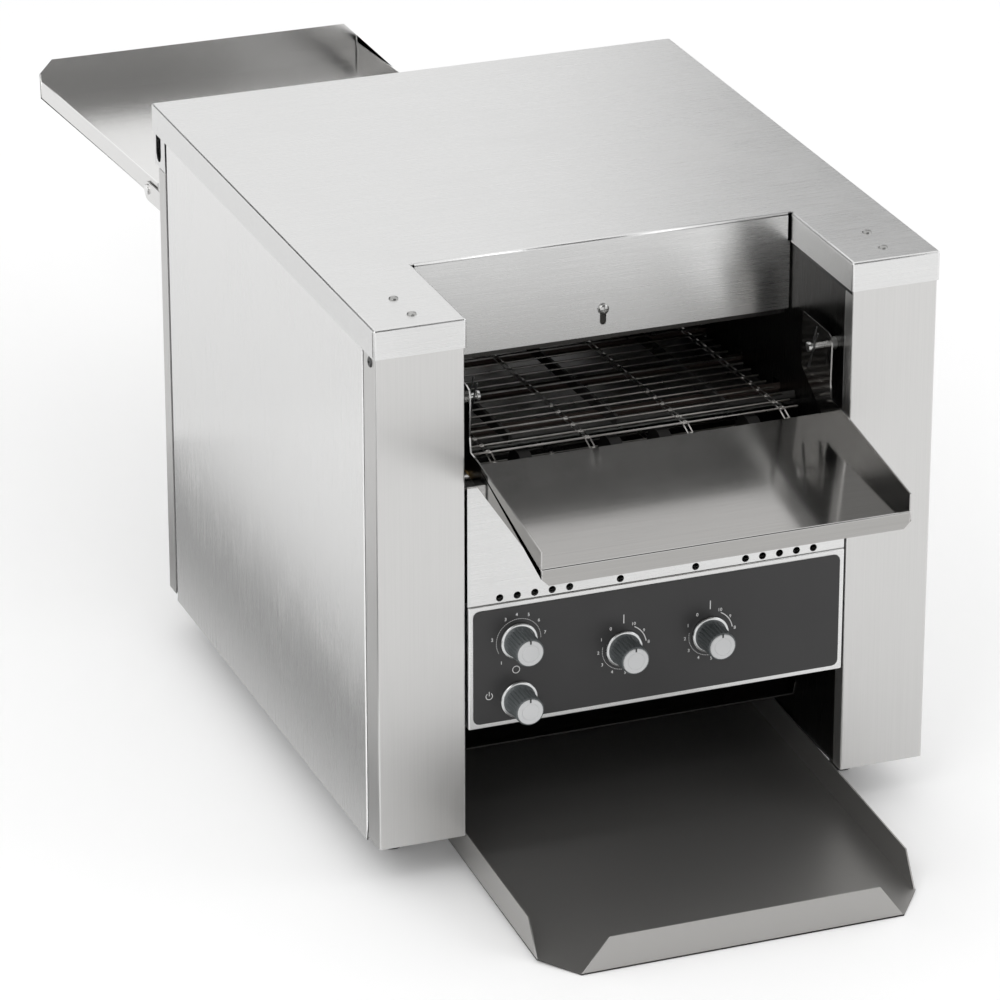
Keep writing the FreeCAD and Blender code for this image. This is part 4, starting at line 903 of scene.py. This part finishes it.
@dataclass
class WireBelt:
    """The belt: cross wires on a loop, hooked to one another by rows of wire eyes.

    Attributes:
        span: Distance between the two shafts.
        radius: The loop's radius at its ends.
        half: Half of the belt's width.
        wire: A cross wire's radius.
        pitch: The wanted distance between wires.
        slope: The belt's fall to the rear, in degrees.
        eye: An eye's half width and its wire's radius.
        front: The front shaft's place, back and up.
    """

    span: float = 457.5
    radius: float = 20.0
    half: float = 138.0
    wire: float = 1.05
    pitch: float = 15.5
    slope: float = 2.6
    eye: tuple[float, float] = (2.2, 0.7)
    front: tuple[float, float] = (48.0, 283.8)

    def point(self, along: float) -> Vector:
        """Finds a point of the loop in its own plane.

        Args:
            along: Its distance along the loop.

        Returns:
            The point in millimetres.
        """
        turn_length = math.pi * self.radius
        along %= 2 * self.span + 2 * turn_length
        if along < self.span:
            return Vector((0, along, self.radius))
        if along < self.span + turn_length:
            angle = (along - self.span) / self.radius
            return Vector((0, self.span + self.radius * math.sin(angle), self.radius * math.cos(angle)))
        if along < 2 * self.span + turn_length:
            return Vector((0, 2 * self.span + turn_length - along, -self.radius))
        angle = (along - 2 * self.span - turn_length) / self.radius
        return Vector((0, -self.radius * math.sin(angle), -self.radius * math.cos(angle)))

    def unit(self, length: float) -> bpy.types.Object:
        """Models one cross wire with the eyes that reach to the next wire.

        Args:
            length: The distance to the next wire.

        Returns:
            The wire and its eyes as one piece.
        """
        clear()
        rod = turn("wire", Vector(), RIGHT, ((-self.half, self.wire * 0.6), (0.5 - self.half, self.wire),
                                             (self.half - 0.5, self.wire), (self.half, self.wire * 0.6)), 8)
        parts = [rod]
        step = 2 * (self.half - 14) / 3
        for column in range(4):
            clear()
            bpy.ops.mesh.primitive_torus_add(major_segments=8, minor_segments=4,
                                             major_radius=self.eye[0] * MM, minor_radius=self.eye[1] * MM,
                                             location=(0, 0, 0), rotation=(0, 0, math.pi / 8))
            ring = bpy.context.object
            apply_place(ring)
            edit(ring)
            pick(ring, "VERT", lambda vert: vert.co.y > 0)
            bpy.ops.transform.translate(value=(0, (length - 1.0) * MM, 0))
            clear()
            ring.location = Vector((14 - self.half + column * step, 0.5, 0)) * MM
            apply_place(ring)
            parts.append(ring)
        return join(parts, "belt_unit")

    def build(self) -> None:
        """Copies the unit round the loop and joins the belt."""
        loop = 2 * self.span + 2 * math.pi * self.radius
        count = round(loop / self.pitch)
        pitch = loop / count
        unit = self.unit(pitch)
        start = at(0, *self.front)
        lean = Matrix.Rotation(math.radians(-self.slope), 4, "X")
        wires = []
        for index in range(count):
            here = self.point(index * pitch) * MM
            ahead = self.point((index + 1) * pitch) * MM - here
            face = Matrix.Rotation(math.atan2(ahead.z, ahead.y), 4, "X")
            place = Matrix.Translation(start) @ lean @ Matrix.Translation(here) @ face
            wires.append(twin(unit, f"wire_{index}", place))
        bpy.data.objects.remove(unit)
        settle(join(wires, "belt_wires"), "housing", FINISHES.belt, ("wire_belt",), 50)


@dataclass
class Knobs:
    """The four control knobs: ribbed grip, bright ring at its foot, knurled cap and pointer.

    Attributes:
        ribs: Number of ribs round the grip; not used.
        face: Level of the panel's face.
        length: How far the knob stands out of the panel.
    """

    ribs: int = 24
    face: float = -1.1
    length: float = 25.7

    def grip(self) -> bpy.types.Object:
        """A tapered grip with ribs pulled out of its wall."""
        top = self.length
        profile = ((0.3, 14.2), (1.8, 14.2), (3.0, 13.2), (4.2, 12.4), (8, 12.2), (14, 12.0),
                   (top - 1.6, 11.8), (top - 0.8, 11.5), (top - 0.4, 10.9))
        piece = turn("grip", Vector(), UP, profile, 96)
        edit(piece)
        step = 2 * math.pi / 96

        def groove(vert: bmesh.types.BMVert) -> bool:
            """Whether a corner lies in a groove between two ribs."""
            index = round(math.atan2(vert.co.y, vert.co.x) / step) % 4
            return index == 0 and 4 * MM < vert.co.z < (top - 1) * MM

        pick(piece, "VERT", groove)
        bpy.ops.transform.resize(value=(0.945, 0.945, 1), center_override=(0, 0, 0))
        clear()
        return piece

    def ring(self) -> bpy.types.Object:
        """The bright ring round the knob's foot."""
        return turn("ring", Vector(), UP, ((0, 14.9), (0.2, 15.4), (1.5, 15.5), (2.3, 15.2), (2.8, 14.5),
                                          (2.8, 13.0)), 64)

    def cap(self) -> bpy.types.Object:
        """The inlaid cap: knurled rim, a groove inside it and a slightly domed middle."""
        top = self.length
        piece = turn("cap", Vector(), UP, ((top - 1.6, 10.7), (top - 0.2, 10.7), (top + 0.3, 10.35),
                                          (top + 0.35, 7.4), (top + 0.1, 7.15), (top + 0.1, 6.85),
                                          (top + 0.38, 6.6), (top + 0.5, 4.0), (top + 0.54, 1.2)), 96)
        edit(piece)
        step = 2 * math.pi / 96

        def notch(vert: bmesh.types.BMVert) -> bool:
            """Whether a corner lies in a notch of the rim."""
            index = round(math.atan2(vert.co.y, vert.co.x) / step) % 2
            radius = math.hypot(vert.co.x, vert.co.y)
            return index == 0 and radius > 10.2 * MM and vert.co.z > (top - 0.5) * MM

        pick(piece, "VERT", notch)
        bpy.ops.transform.resize(value=(0.965, 0.965, 1), center_override=(0, 0, 0))
        clear()
        return piece

    def pointer(self) -> bpy.types.Object:
        """The black notch at the cap's rim that is read against the scale."""
        top = self.length
        low, high = Vector((-0.7, 7.9, top - 0.3)), Vector((0.7, 10.9, top + 0.45))
        return block("pointer", low * MM, high * MM, 0.12)

    def build(self) -> None:
        """Models the knob once and copies it to the four controls."""
        made = {"grip": self.grip(), "ring": self.ring(), "cap": self.cap(), "pointer": self.pointer()}
        finishes = {"grip": FINISHES.grip, "ring": FINISHES.skirt, "cap": FINISHES.cap,
                    "pointer": FINISHES.mark}
        upright = Matrix.Rotation(math.radians(90), 4, "X")
        for name, (x, z) in KNOBS.items():
            for part, piece in made.items():
                copy = twin(piece, f"{name}_{part}", Matrix.Translation(at(x, self.face, z)) @ upright)
                stands = {"grip": (f"{name}_knob",), "cap": (f"{name}_cap",)}.get(part, ())
                settle(copy, f"{name}_dial", finishes[part], stands, 40)
        for piece in made.values():
            bpy.data.objects.remove(piece)


@dataclass
class PanelPrint:
    """The scales printed on the control panel: figures, marks, dashed arcs and the two power signs.

    Attributes:
        level: The ink's level, just proud of the film.
        figure: The height of a figure.
    """

    level: float = -0.84
    figure: float = 2.7

    def spot(self, x: float, z: float, radius: float, angle: float) -> Vector:
        """A point round a knob, its angle clockwise from the top."""
        turned = math.radians(angle)
        return at(x + radius * math.sin(turned), self.level, z + radius * math.cos(turned))

    def arc(self, x: float, z: float, radius: float, start: float, end: float, dashes: int,
            thick: float = 0.35) -> bpy.types.Object:
        """A printed arc, whole or dashed: short strips set round the knob's centre.

        Args:
            x: The knob's place across the panel.
            z: The knob's height.
            radius: The arc's radius.
            start: Its start, clockwise from the top in degrees.
            end: Its end.
            dashes: The number of dashes, or nought for a whole arc.
            thick: The line's thickness.

        Returns:
            The arc as one piece.
        """
        count = dashes or 12
        step = (end - start) / count
        fill = 0.55 if dashes else 1.02
        strips = []
        for index in range(count):
            angle = start + step * (index + 0.5)
            length = abs(math.radians(step)) * radius * fill
            strip = block("strip", Vector((-length / 2, -0.02, -thick / 2)) * MM,
                          Vector((length / 2, 0.02, thick / 2)) * MM)
            strip.matrix_world = Matrix.Translation(self.spot(x, z, radius, angle)) @ \
                Matrix.Rotation(math.radians(angle), 4, "Y")
            apply_place(strip)
            strips.append(strip)
        return join(strips, "arc")

    def heat_scale(self, name: str, x: float, z: float) -> bpy.types.Object:
        """The scale of a heat knob: nought to ten, anticlockwise."""
        parts = [words("figure", str(value), self.spot(x, z, 21.4, -31 - 30.6 * value), self.figure)
                 for value in range(11)]
        parts.append(self.arc(x, z, 18.0, -78, -200, 26, 0.45))
        parts.append(self.arc(x, z, 19.4, 28, 80, 0, 0.8))
        parts.append(block("mark", at(x - 0.4, self.level - 0.02, z + 21.5),
                           at(x + 0.4, self.level + 0.02, z + 29)))
        return join(parts, name)

    def speed_scale(self, x: float, z: float) -> bpy.types.Object:
        """The scale of the speed knob: one to seven, clockwise."""
        angles = (-140, -80, -29, -4, 22, 49, 81)
        parts = [words("figure", str(value), self.spot(x, z, 22.4, angle), self.figure)
                 for value, angle in enumerate(angles, 1)]
        parts.append(self.arc(x, z, 18.6, -118, 92, 44, 0.45))
        return join(parts, "speed_scale")

    def power_signs(self, x: float, z: float) -> bpy.types.Object:
        """The off ring above the power knob and the on sign beside it."""
        parts = [self.ring_sign(x - 2, z + 25.5, 2.9, 0, 360)]
        parts.append(self.ring_sign(x - 24.5, z + 6, 2.7, 35, 325))
        parts.append(block("stroke", at(x - 24.75, self.level - 0.02, z + 6.2),
                           at(x - 24.25, self.level + 0.02, z + 10)))
        return join(parts, "power_signs")

    def ring_sign(self, x: float, z: float, radius: float, start: float, end: float) -> bpy.types.Object:
        """A small printed ring or open ring."""
        return self.arc(x, z, radius, start, end, 0, 0.55)

    def build(self) -> None:
        """Prints all scales and signs."""
        made = [self.heat_scale(f"{name}_scale", *KNOBS[name]) for name in ("top_heat", "bottom_heat")]
        made += [self.speed_scale(*KNOBS["speed"]), self.power_signs(*KNOBS["power"])]
        for piece in made:
            settle(piece, "housing", FINISHES.ink, angle=20)


class Drive(Enum):
    """The kinds of recess in a fastener's head."""

    CROSS = "cross"
    PLAIN = "plain"


@dataclass
class Fasteners:
    """Rivets, screws and pins that the photograph shows or that the build needs.

    Attributes:
        rivets: The rivets of one horn, across and back.
        lip_screw: The screw under the cover's lip.
        header_screw: The screw in the rear header's slot.
        rear_screws: The screws of the rear panel, across and up.
        fan_reach: Half the distance of the fan's screws.
    """

    rivets: tuple[tuple[float, float], ...] = ((198, 58), (196, 23))
    lip_screw: tuple[float, float, float] = (233.4, 12.5, 409.5)
    header_screw: tuple[float, float, float] = (233.4, 534, 422)
    rear_screws: tuple[tuple[float, float], ...] = (
        (-225, 20), (-225, 200), (-225, 372), (225, 20), (225, 200), (225, 372), (-100, 20), (100, 20),
        (-172, 250), (172, 250), (-172, 350), (172, 350))
    fan_reach: float = 25.0

    def head(self, name: str, place: Vector, out: Vector, radius: float, height: float,
             drive: Drive = Drive.PLAIN, spin: float = 0.0) -> bpy.types.Object:
        """A domed head with its recess.

        Args:
            name: The piece's name.
            place: The middle of its seat.
            out: The direction that it faces.
            radius: Its radius in millimetres.
            height: Its height in millimetres.
            drive: The kind of recess.
            spin: The turn of the recess, in degrees.

        Returns:
            The head.
        """
        piece = turn(name, Vector(), UP, ((-0.3, radius * 0.9), (0, radius), (height * 0.35, radius),
                                         (height * 0.75, radius * 0.86), (height * 0.95, radius * 0.6),
                                         (height, radius * 0.25)), 28)
        reach = radius * 0.62
        for angle in (0, 90) if drive is Drive.CROSS else ():
            cutter = block("cutter", Vector((-reach, -radius * 0.12, height * 0.35)) * MM,
                           Vector((reach, radius * 0.12, height * 1.4)) * MM)
            cutter.matrix_world = Matrix.Rotation(math.radians(angle + spin), 4, "Z")
            apply_place(cutter)
            carve(piece, cutter)
        piece.matrix_world = Matrix.Translation(place) @ out.to_track_quat("Z", "Y").to_matrix().to_4x4()
        apply_place(piece)
        return piece

    def top_rivets(self) -> None:
        """Two low rivets on each horn of the cover."""
        made = [self.head("rivet", at(side * x, y, TOP), UP, 3.7, 1.7)
                for side in SIDES for x, y in self.rivets]
        settle(join(made, "cover_rivets"), "housing", FINISHES.rivet)

    def side_screws(self) -> None:
        """A screw under the cover's lip at each front corner, and one in each slot of the rear header."""
        for name, (x, y, z), finish, radius, height, spin in (
                ("lip_screws", self.lip_screw, FINISHES.dark_screw, 4.4, 1.5, 20),
                ("header_screws", self.header_screw, FINISHES.screw, 3.6, 1.6, 35)):
            made = [self.head("screw", at(side * x, y, z), RIGHT * side, radius, height, Drive.CROSS, spin)
                    for side in SIDES]
            settle(join(made, name), "housing", finish)

    def gate_screw(self) -> None:
        """The cross-head screw that holds the gate at its height."""
        low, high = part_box("gate_screw")
        middle = (low + high) / 2
        length = 1000 * (high.y - low.y)
        shank = turn("shank", Vector((middle.x, low.y, middle.z)), BACK,
                     ((1.5, 2.35), (length - 1.5, 2.35), (length - 1.5, 4.4), (length, 4.4)), 24)
        seat = Vector((middle.x, low.y + 2.8 * MM, middle.z))
        head = self.head("gate_head", seat, -BACK, 4.5, 2.6, Drive.CROSS, 8)
        settle(join([head, shank], "gate_clamp_screw"), "gate", FINISHES.screw, ("gate_screw",))

    def shelf_pins(self) -> None:
        """The two pins that carry the shelf, each with a spring clip of crossing wires."""
        pins = []
        clips = []
        back, up = PINS
        outline = ((137.5, 3.1), (137.9, 3.8), (140.0, 4.0), (140.5, 3.6), (140.6, 2.45), (144.4, 2.45),
                   (144.4, 2.45), (152.4, 2.45), (152.4, 5.4), (161.5, 5.4))
        pin = turn("pin", at(0, back, up), RIGHT, outline, 28)
        pins.append(pin)
        pins.append(twin(pin, "pin_left", mirrored()))
        wires = (("clip_a", 142.6,
                  ((-9, 14), (-5, 8.5), (-2.9, 3), (-2.9, -1.5), (0.5, -5), (5, -13), (9, -21))),
                 ("clip_b", 143.8,
                  ((-4, 18), (-1, 10), (2.9, 3.2), (3.1, -2), (3.5, -7), (6, -13), (9, -21))))
        for name, across, route in wires:
            clip = tube(name, [at(across, back + dy, up + dz) for dy, dz in route], 0.75)
            clips += [clip, twin(clip, f"{name}_left", mirrored())]
        settle(join(pins, "shelf_pivot_pins"), "housing", FINISHES.shaft, ("shelf_pins",))
        settle(join(clips, "shelf_pin_clips"), "housing", FINISHES.dark_screw, angle=60)

    def pan_and_panel_screws(self) -> None:
        """Screws round the rear panel and under the pan."""
        (x, z), reach = FAN, self.fan_reach
        rear = [at(across, DEPTH, up) for across, up in self.rear_screws]
        fan = [at(x + across, DEPTH, z + up) for across in (-reach, reach) for up in (-reach, reach)]
        under = [at(across, back, 0) for across in (-215, 215) for back in (90, 280, 470)]
        made = []
        for places, out, radius, height, step in ((rear, BACK, 3.4, 1.6, 17), (fan, BACK, 3.0, 1.5, 31),
                                                  (under, -UP, 3.4, 1.6, 23)):
            made += [self.head("screw", place, out, radius, height, Drive.CROSS, step * index)
                     for index, place in enumerate(places)]
        settle(join(made, "panel_screws"), "housing", FINISHES.screw)

    def build(self) -> None:
        """Makes all fasteners."""
        self.top_rivets()
        self.side_screws()
        self.gate_screw()
        self.shelf_pins()
        self.pan_and_panel_screws()


@dataclass
class Seams:
    """Painted shade: dark strips that stand for the shadow in the narrow gap under each lip of the notch,
    where the sheets lie close to one another.

    Attributes:
        across: The strip's inner and outer side.
        back: Its front and back end.
        up: Its foot and top.
    """

    across: tuple[float, float] = (161.4, 162.4)
    back: tuple[float, float] = (3.0, 118.0)
    up: tuple[float, float] = (411.2, 414.6)

    def build(self) -> None:
        """Lays a thin dark strip under each lip of the notch, as painted shade of the gap there."""
        strips = []
        for side in SIDES:
            near, far = sorted(side * edge for edge in self.across)
            low = at(near, self.back[0], self.up[0])
            high = at(far, self.back[1], self.up[1])
            strips.append(block("strip", low, high, 0.2))
        settle(join(strips, "lip_shadow_strips"), "housing", FINISHES.nylon)


@dataclass
class Feet:
    """Four rubber feet on threaded necks.

    Attributes:
        height: The feet's height.
        inset: How far in they stand, from the side and from the front or back.
    """

    height: float = 38.0
    inset: tuple[float, float] = (38.0, 77.0)

    def build(self) -> None:
        """Turns one foot and copies it under the four corners."""
        neck = [(-28.5 + 1.5 * step + part, 5.9 if part else 5.2)
                for step in range(18) for part in (0.0, 0.75)]
        profile = [(-self.height, 7.6), (-37.5, 8.7), (-36.4, 9.3), (-34.0, 9.5), (-30.5, 9.4), (-29.4, 8.7),
                   (-28.9, 7.0)] + neck + [(0.0, 5.9)]
        foot = turn("foot", Vector(), UP, profile, 32)
        for end, y in (("front", self.inset[1]), ("rear", DEPTH - self.inset[1])):
            for name, side in (("left", -1), ("right", 1)):
                place = Matrix.Translation(at(side * (HALF - self.inset[0]), y, 0))
                copy = twin(foot, f"{end}_{name}_rubber_foot", place)
                settle(copy, "housing", FINISHES.rubber, (f"{end}_{name}_foot",), 45)
        bpy.data.objects.remove(foot)


@dataclass
class RearFittings:
    """What the rear wall carries: louvre hoods, the fan's guard rings and the cord gland.

    Attributes:
        louvre_x: The louvres' place across the wall.
        louvre_z: The lowest louvre's height.
        pitch: The distance between louvres.
        gland_place: Where the gland stands.
    """

    louvre_x: float = 198.0
    louvre_z: float = 120.0
    pitch: float = 11.0
    gland_place: tuple[float, float, float] = (198, 536.8, 50)

    def hoods(self) -> None:
        """Pressed hoods over the louvre slots."""
        hood = block("hood", Vector((-23, 0, 0)) * MM, Vector((23, 4.2, 7.4)) * MM)
        edit(hood)
        pick(hood, "EDGE", lambda edge: all(v.co.y > 4 * MM for v in edge.verts) and
             all(v.co.z > 7 * MM for v in edge.verts))
        bpy.ops.mesh.bevel(offset=3.6 * MM, segments=6, affect="EDGES")
        pick(hood, "EDGE", lambda edge: abs(edge.verts[0].co.x - edge.verts[1].co.x) < 1e-6 and
             all(v.co.y > 1 * MM for v in edge.verts) and abs(edge.verts[0].co.x) > 22 * MM)
        bpy.ops.mesh.bevel(offset=0.9 * MM, segments=2, affect="EDGES")
        pick(hood, "FACE", lambda face: face.normal.z < -0.9)
        bpy.ops.mesh.inset(thickness=0.7 * MM)
        bpy.ops.transform.translate(value=(0, 0, 2.6 * MM))
        clear()
        hoods = [twin(hood, f"hood_{step}", Matrix.Translation(at(self.louvre_x, 537.9,
                                                                 self.louvre_z + step * self.pitch - 0.4)))
                 for step in range(6)]
        bpy.data.objects.remove(hood)
        settle(join(hoods, "louvre_hoods"), "housing", FINISHES.upright)

    def guard(self) -> None:
        """Wire rings of the fan's guard with their spokes."""
        rings = []
        for radius in (8, 14, 20, 26):
            clear()
            bpy.ops.mesh.primitive_torus_add(major_segments=40, minor_segments=8, major_radius=radius * MM,
                                             minor_radius=0.8 * MM, location=at(FAN[0], 540.2, FAN[1]),
                                             rotation=(math.pi / 2, 0, 0))
            rings.append(bpy.context.object)
            apply_place(bpy.context.object)
        for angle in (45, 135, 225, 315):
            turned = math.radians(angle)
            out = Vector((math.cos(turned), 0, math.sin(turned)))
            centre = at(FAN[0], 540.2, FAN[1])
            rings.append(tube("spoke", [centre + out * 6 * MM, centre + out * 20 * MM, centre + out * 33 * MM,
                                       centre + out * 35.2 * MM - BACK * 1.6 * MM], 0.8, corners=2))
        settle(join(rings, "fan_guard"), "housing", FINISHES.screw, angle=60)

    def gland(self) -> None:
        """The cord's gland: lock nut, ridged dome and a bore."""
        base = at(*self.gland_place)
        nut = turn("nut", base, BACK, ((-5, 10.6), (-4.6, 12), (-0.4, 12), (0, 11.4)), 6)
        profile = ((-6.5, 7.6), (1.2, 8.0), (1.2, 11.4), (1.6, 12.0), (5.6, 12.0), (6.2, 11.4), (6.2, 9.4),
                   (15, 9.2), (17.6, 8.2), (19, 6.4), (19, 4.6), (10, 4.4))
        body = turn("dome", base, BACK, profile, 24)
        settle(join([body, nut], "gland_body"), "housing", FINISHES.nylon, ("cord_gland",), 30)

    def build(self) -> None:
        """Makes the rear wall's fittings."""
        self.hoods()
        self.guard()
        self.gland()


# Studio


@dataclass
class Studio:
    """A white floor, an even white surround, soft lamps, dark cards that paint dark reflections and the
    floor's shadow into the metal, and the camera.
    """

    sky: float = 0.9
    camera_place: tuple[float, float, float] = (-1.5198, -4.0955, 2.0160)
    camera_aim: tuple[float, float, float] = (0.32841254, 0.85518264, -0.40100856)
    lens: float = 197.72

    def floor(self) -> None:
        """A pale floor that keeps the shadow."""
        clear()
        bpy.ops.mesh.primitive_plane_add(size=14, location=(0, 0, -0.0002))
        floor = bpy.context.object
        floor.name = "floor"
        made = bpy.data.materials.new("floor_white")
        made.use_nodes = True
        graph = Graph(made.node_tree)
        shader = made.node_tree.nodes["Principled BSDF"]
        shader.inputs["Base Color"].default_value = (0.93, 0.93, 0.93, 1)
        shader.inputs["Roughness"].default_value = 0.9
        shader.inputs["Specular IOR Level"].default_value = 0.0
        path = graph.add("ShaderNodeLightPath")
        lift = graph.add("ShaderNodeMath", operation="MULTIPLY")
        lift.inputs[1].default_value = 0.1
        graph.link(path.outputs["Is Camera Ray"], lift.inputs[0])
        shader.inputs["Emission Color"].default_value = (1, 1, 1, 1)
        graph.link(lift.outputs["Value"], shader.inputs["Emission Strength"])
        floor.data.materials.append(made)

    def surround(self) -> None:
        """An even white world, plain white where the camera or a reflection sees it."""
        world = bpy.data.worlds.new("surround")
        bpy.context.scene.world = world
        world.use_nodes = True
        graph = Graph(world.node_tree)
        light = world.node_tree.nodes["Background"]
        path = graph.add("ShaderNodeLightPath")
        seen = graph.add("ShaderNodeMath", operation="MAXIMUM")
        graph.link(path.outputs["Is Camera Ray"], seen.inputs[0])
        also = graph.add("ShaderNodeMath", operation="MAXIMUM")
        graph.link(path.outputs["Is Glossy Ray"], also.inputs[0])
        graph.link(path.outputs["Is Transmission Ray"], also.inputs[1])
        graph.link(also.outputs["Value"], seen.inputs[1])
        strength = graph.add("ShaderNodeMapRange")
        strength.inputs["To Min"].default_value = self.sky
        strength.inputs["To Max"].default_value = 1.0
        graph.link(seen.outputs["Value"], strength.inputs["Value"])
        light.inputs["Color"].default_value = (1, 1, 1, 1)
        graph.link(strength.outputs["Result"], light.inputs["Strength"])

    def lamp(self, name: str, place: Sequence[float], aim: Sequence[float], size: float,
             watts: float) -> None:
        """Adds a soft square lamp that points at a spot.

        Args:
            name: The lamp's name.
            place: Where it stands.
            aim: The spot that it lights.
            size: The length of its side.
            watts: Its power.
        """
        data = bpy.data.lights.new(name, "AREA")
        data.shape = "SQUARE"
        data.size = size
        data.energy = watts
        lamp = bpy.data.objects.new(name, data)
        bpy.context.scene.collection.objects.link(lamp)
        lamp.location = place
        lamp.rotation_euler = (Vector(aim) - Vector(place)).to_track_quat("-Z", "Y").to_euler()

    def flag(self, name: str, place: Sequence[float], size: Sequence[float], aim: Sequence[float],
             cover: tuple[float, float] = (1.0, 1.0), across: int = 0) -> None:
        """Adds a dark card that only reflections see, as a painted dark reflection.

        Args:
            name: The card's name.
            place: Its middle.
            size: Its width and height.
            aim: What it faces.
            cover: How much it covers at its low and its high end.
            across: The axis of its own along which the cover changes.
        """
        clear()
        bpy.ops.mesh.primitive_plane_add(size=1, location=place)
        card = bpy.context.object
        card.name = name
        card.scale = (size[0], size[1], 1)
        card.rotation_euler = (Vector(aim) - Vector(place)).to_track_quat("Z", "Y").to_euler()
        made = bpy.data.materials.new(name)
        made.use_nodes = True
        shader = made.node_tree.nodes["Principled BSDF"]
        shader.inputs["Base Color"].default_value = (0.01, 0.01, 0.01, 1)
        shader.inputs["Specular IOR Level"].default_value = 0.0
        graph = Graph(made.node_tree)
        parts = graph.add("ShaderNodeSeparateXYZ")
        graph.link(graph.add("ShaderNodeTexCoord").outputs["Object"], parts.inputs["Vector"])
        graph.link(graph.span(parts.outputs[across], *cover, -0.5, 0.5), shader.inputs["Alpha"])
        card.data.materials.append(made)
        card.visible_camera = False
        card.visible_diffuse = False
        card.visible_shadow = False

    def camera(self) -> None:
        """Sets the camera at the photograph's place."""
        data = bpy.data.cameras.new("camera")
        data.lens = self.lens
        data.sensor_width = 36
        data.clip_end = 60
        camera = bpy.data.objects.new("camera", data)
        bpy.context.scene.collection.objects.link(camera)
        camera.location = self.camera_place
        camera.rotation_euler = Vector(self.camera_aim).to_track_quat("-Z", "Y").to_euler()
        bpy.context.scene.camera = camera

    def build(self) -> None:
        """Sets up the whole studio."""
        bpy.context.scene.view_settings.view_transform = "Standard"
        self.camera()
        self.floor()
        self.surround()
        self.lamp("key", (-2.2, -2.4, 3.0), (0, 0, 0.2), 1.8, 30)
        self.lamp("fill", (2.6, -2.0, 2.2), (0, 0, 0.2), 1.8, 14)
        # Painted dark reflections: the fold, right and front cards darken what the folds, the shelf and the
        # fronts mirror
        self.flag("fold_card", (-3.28, 6.44, 3.3), (5.2, 5.0), (-0.2, 0, 0.4))
        # Painted shadow of the floor, seen only where the metal mirrors it: the floor and side cards darken
        # the floor near the body, the far card darkens it further back
        self.flag("floor_shadow_card", (-1.02, -0.7, 0.012), (0.95, 1.3), (-1.02, -0.7, 5), (1.0, 0.1))
        self.flag("right_card", (5.15, 5.6, 2.7), (4.9, 3.8), (0, 0, 0.4), (0.75, 0.75))
        self.flag("front_card", (0.2, -4.0, 4.3), (12.0, 5.0), (0, -0.2, 0.4))
        self.flag("side_shadow_card", (-0.3, -0.03, 0.014), (0.13, 0.9), (-0.3, -0.03, 5), (0.2, 1.0))
        self.flag("far_card", (-0.75, 0.85, 0.016), (0.9, 0.9), (-0.75, 0.85, 5), (0.0, 0.12), 1)


def main() -> None:
    """Builds the studio and then every sub-assembly."""
    logging.basicConfig(level=logging.INFO, format="%(name)s %(message)s")
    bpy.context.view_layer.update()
    for assembly in (Studio(), SheetWork(), RoundWork(), WireBelt(), Knobs(), PanelPrint(), Fasteners(),
                     Seams(), Feet(), RearFittings()):
        log.info("building %s", type(assembly).__name__)
        assembly.build()
    clear()


if __name__ == "__main__":
    main()
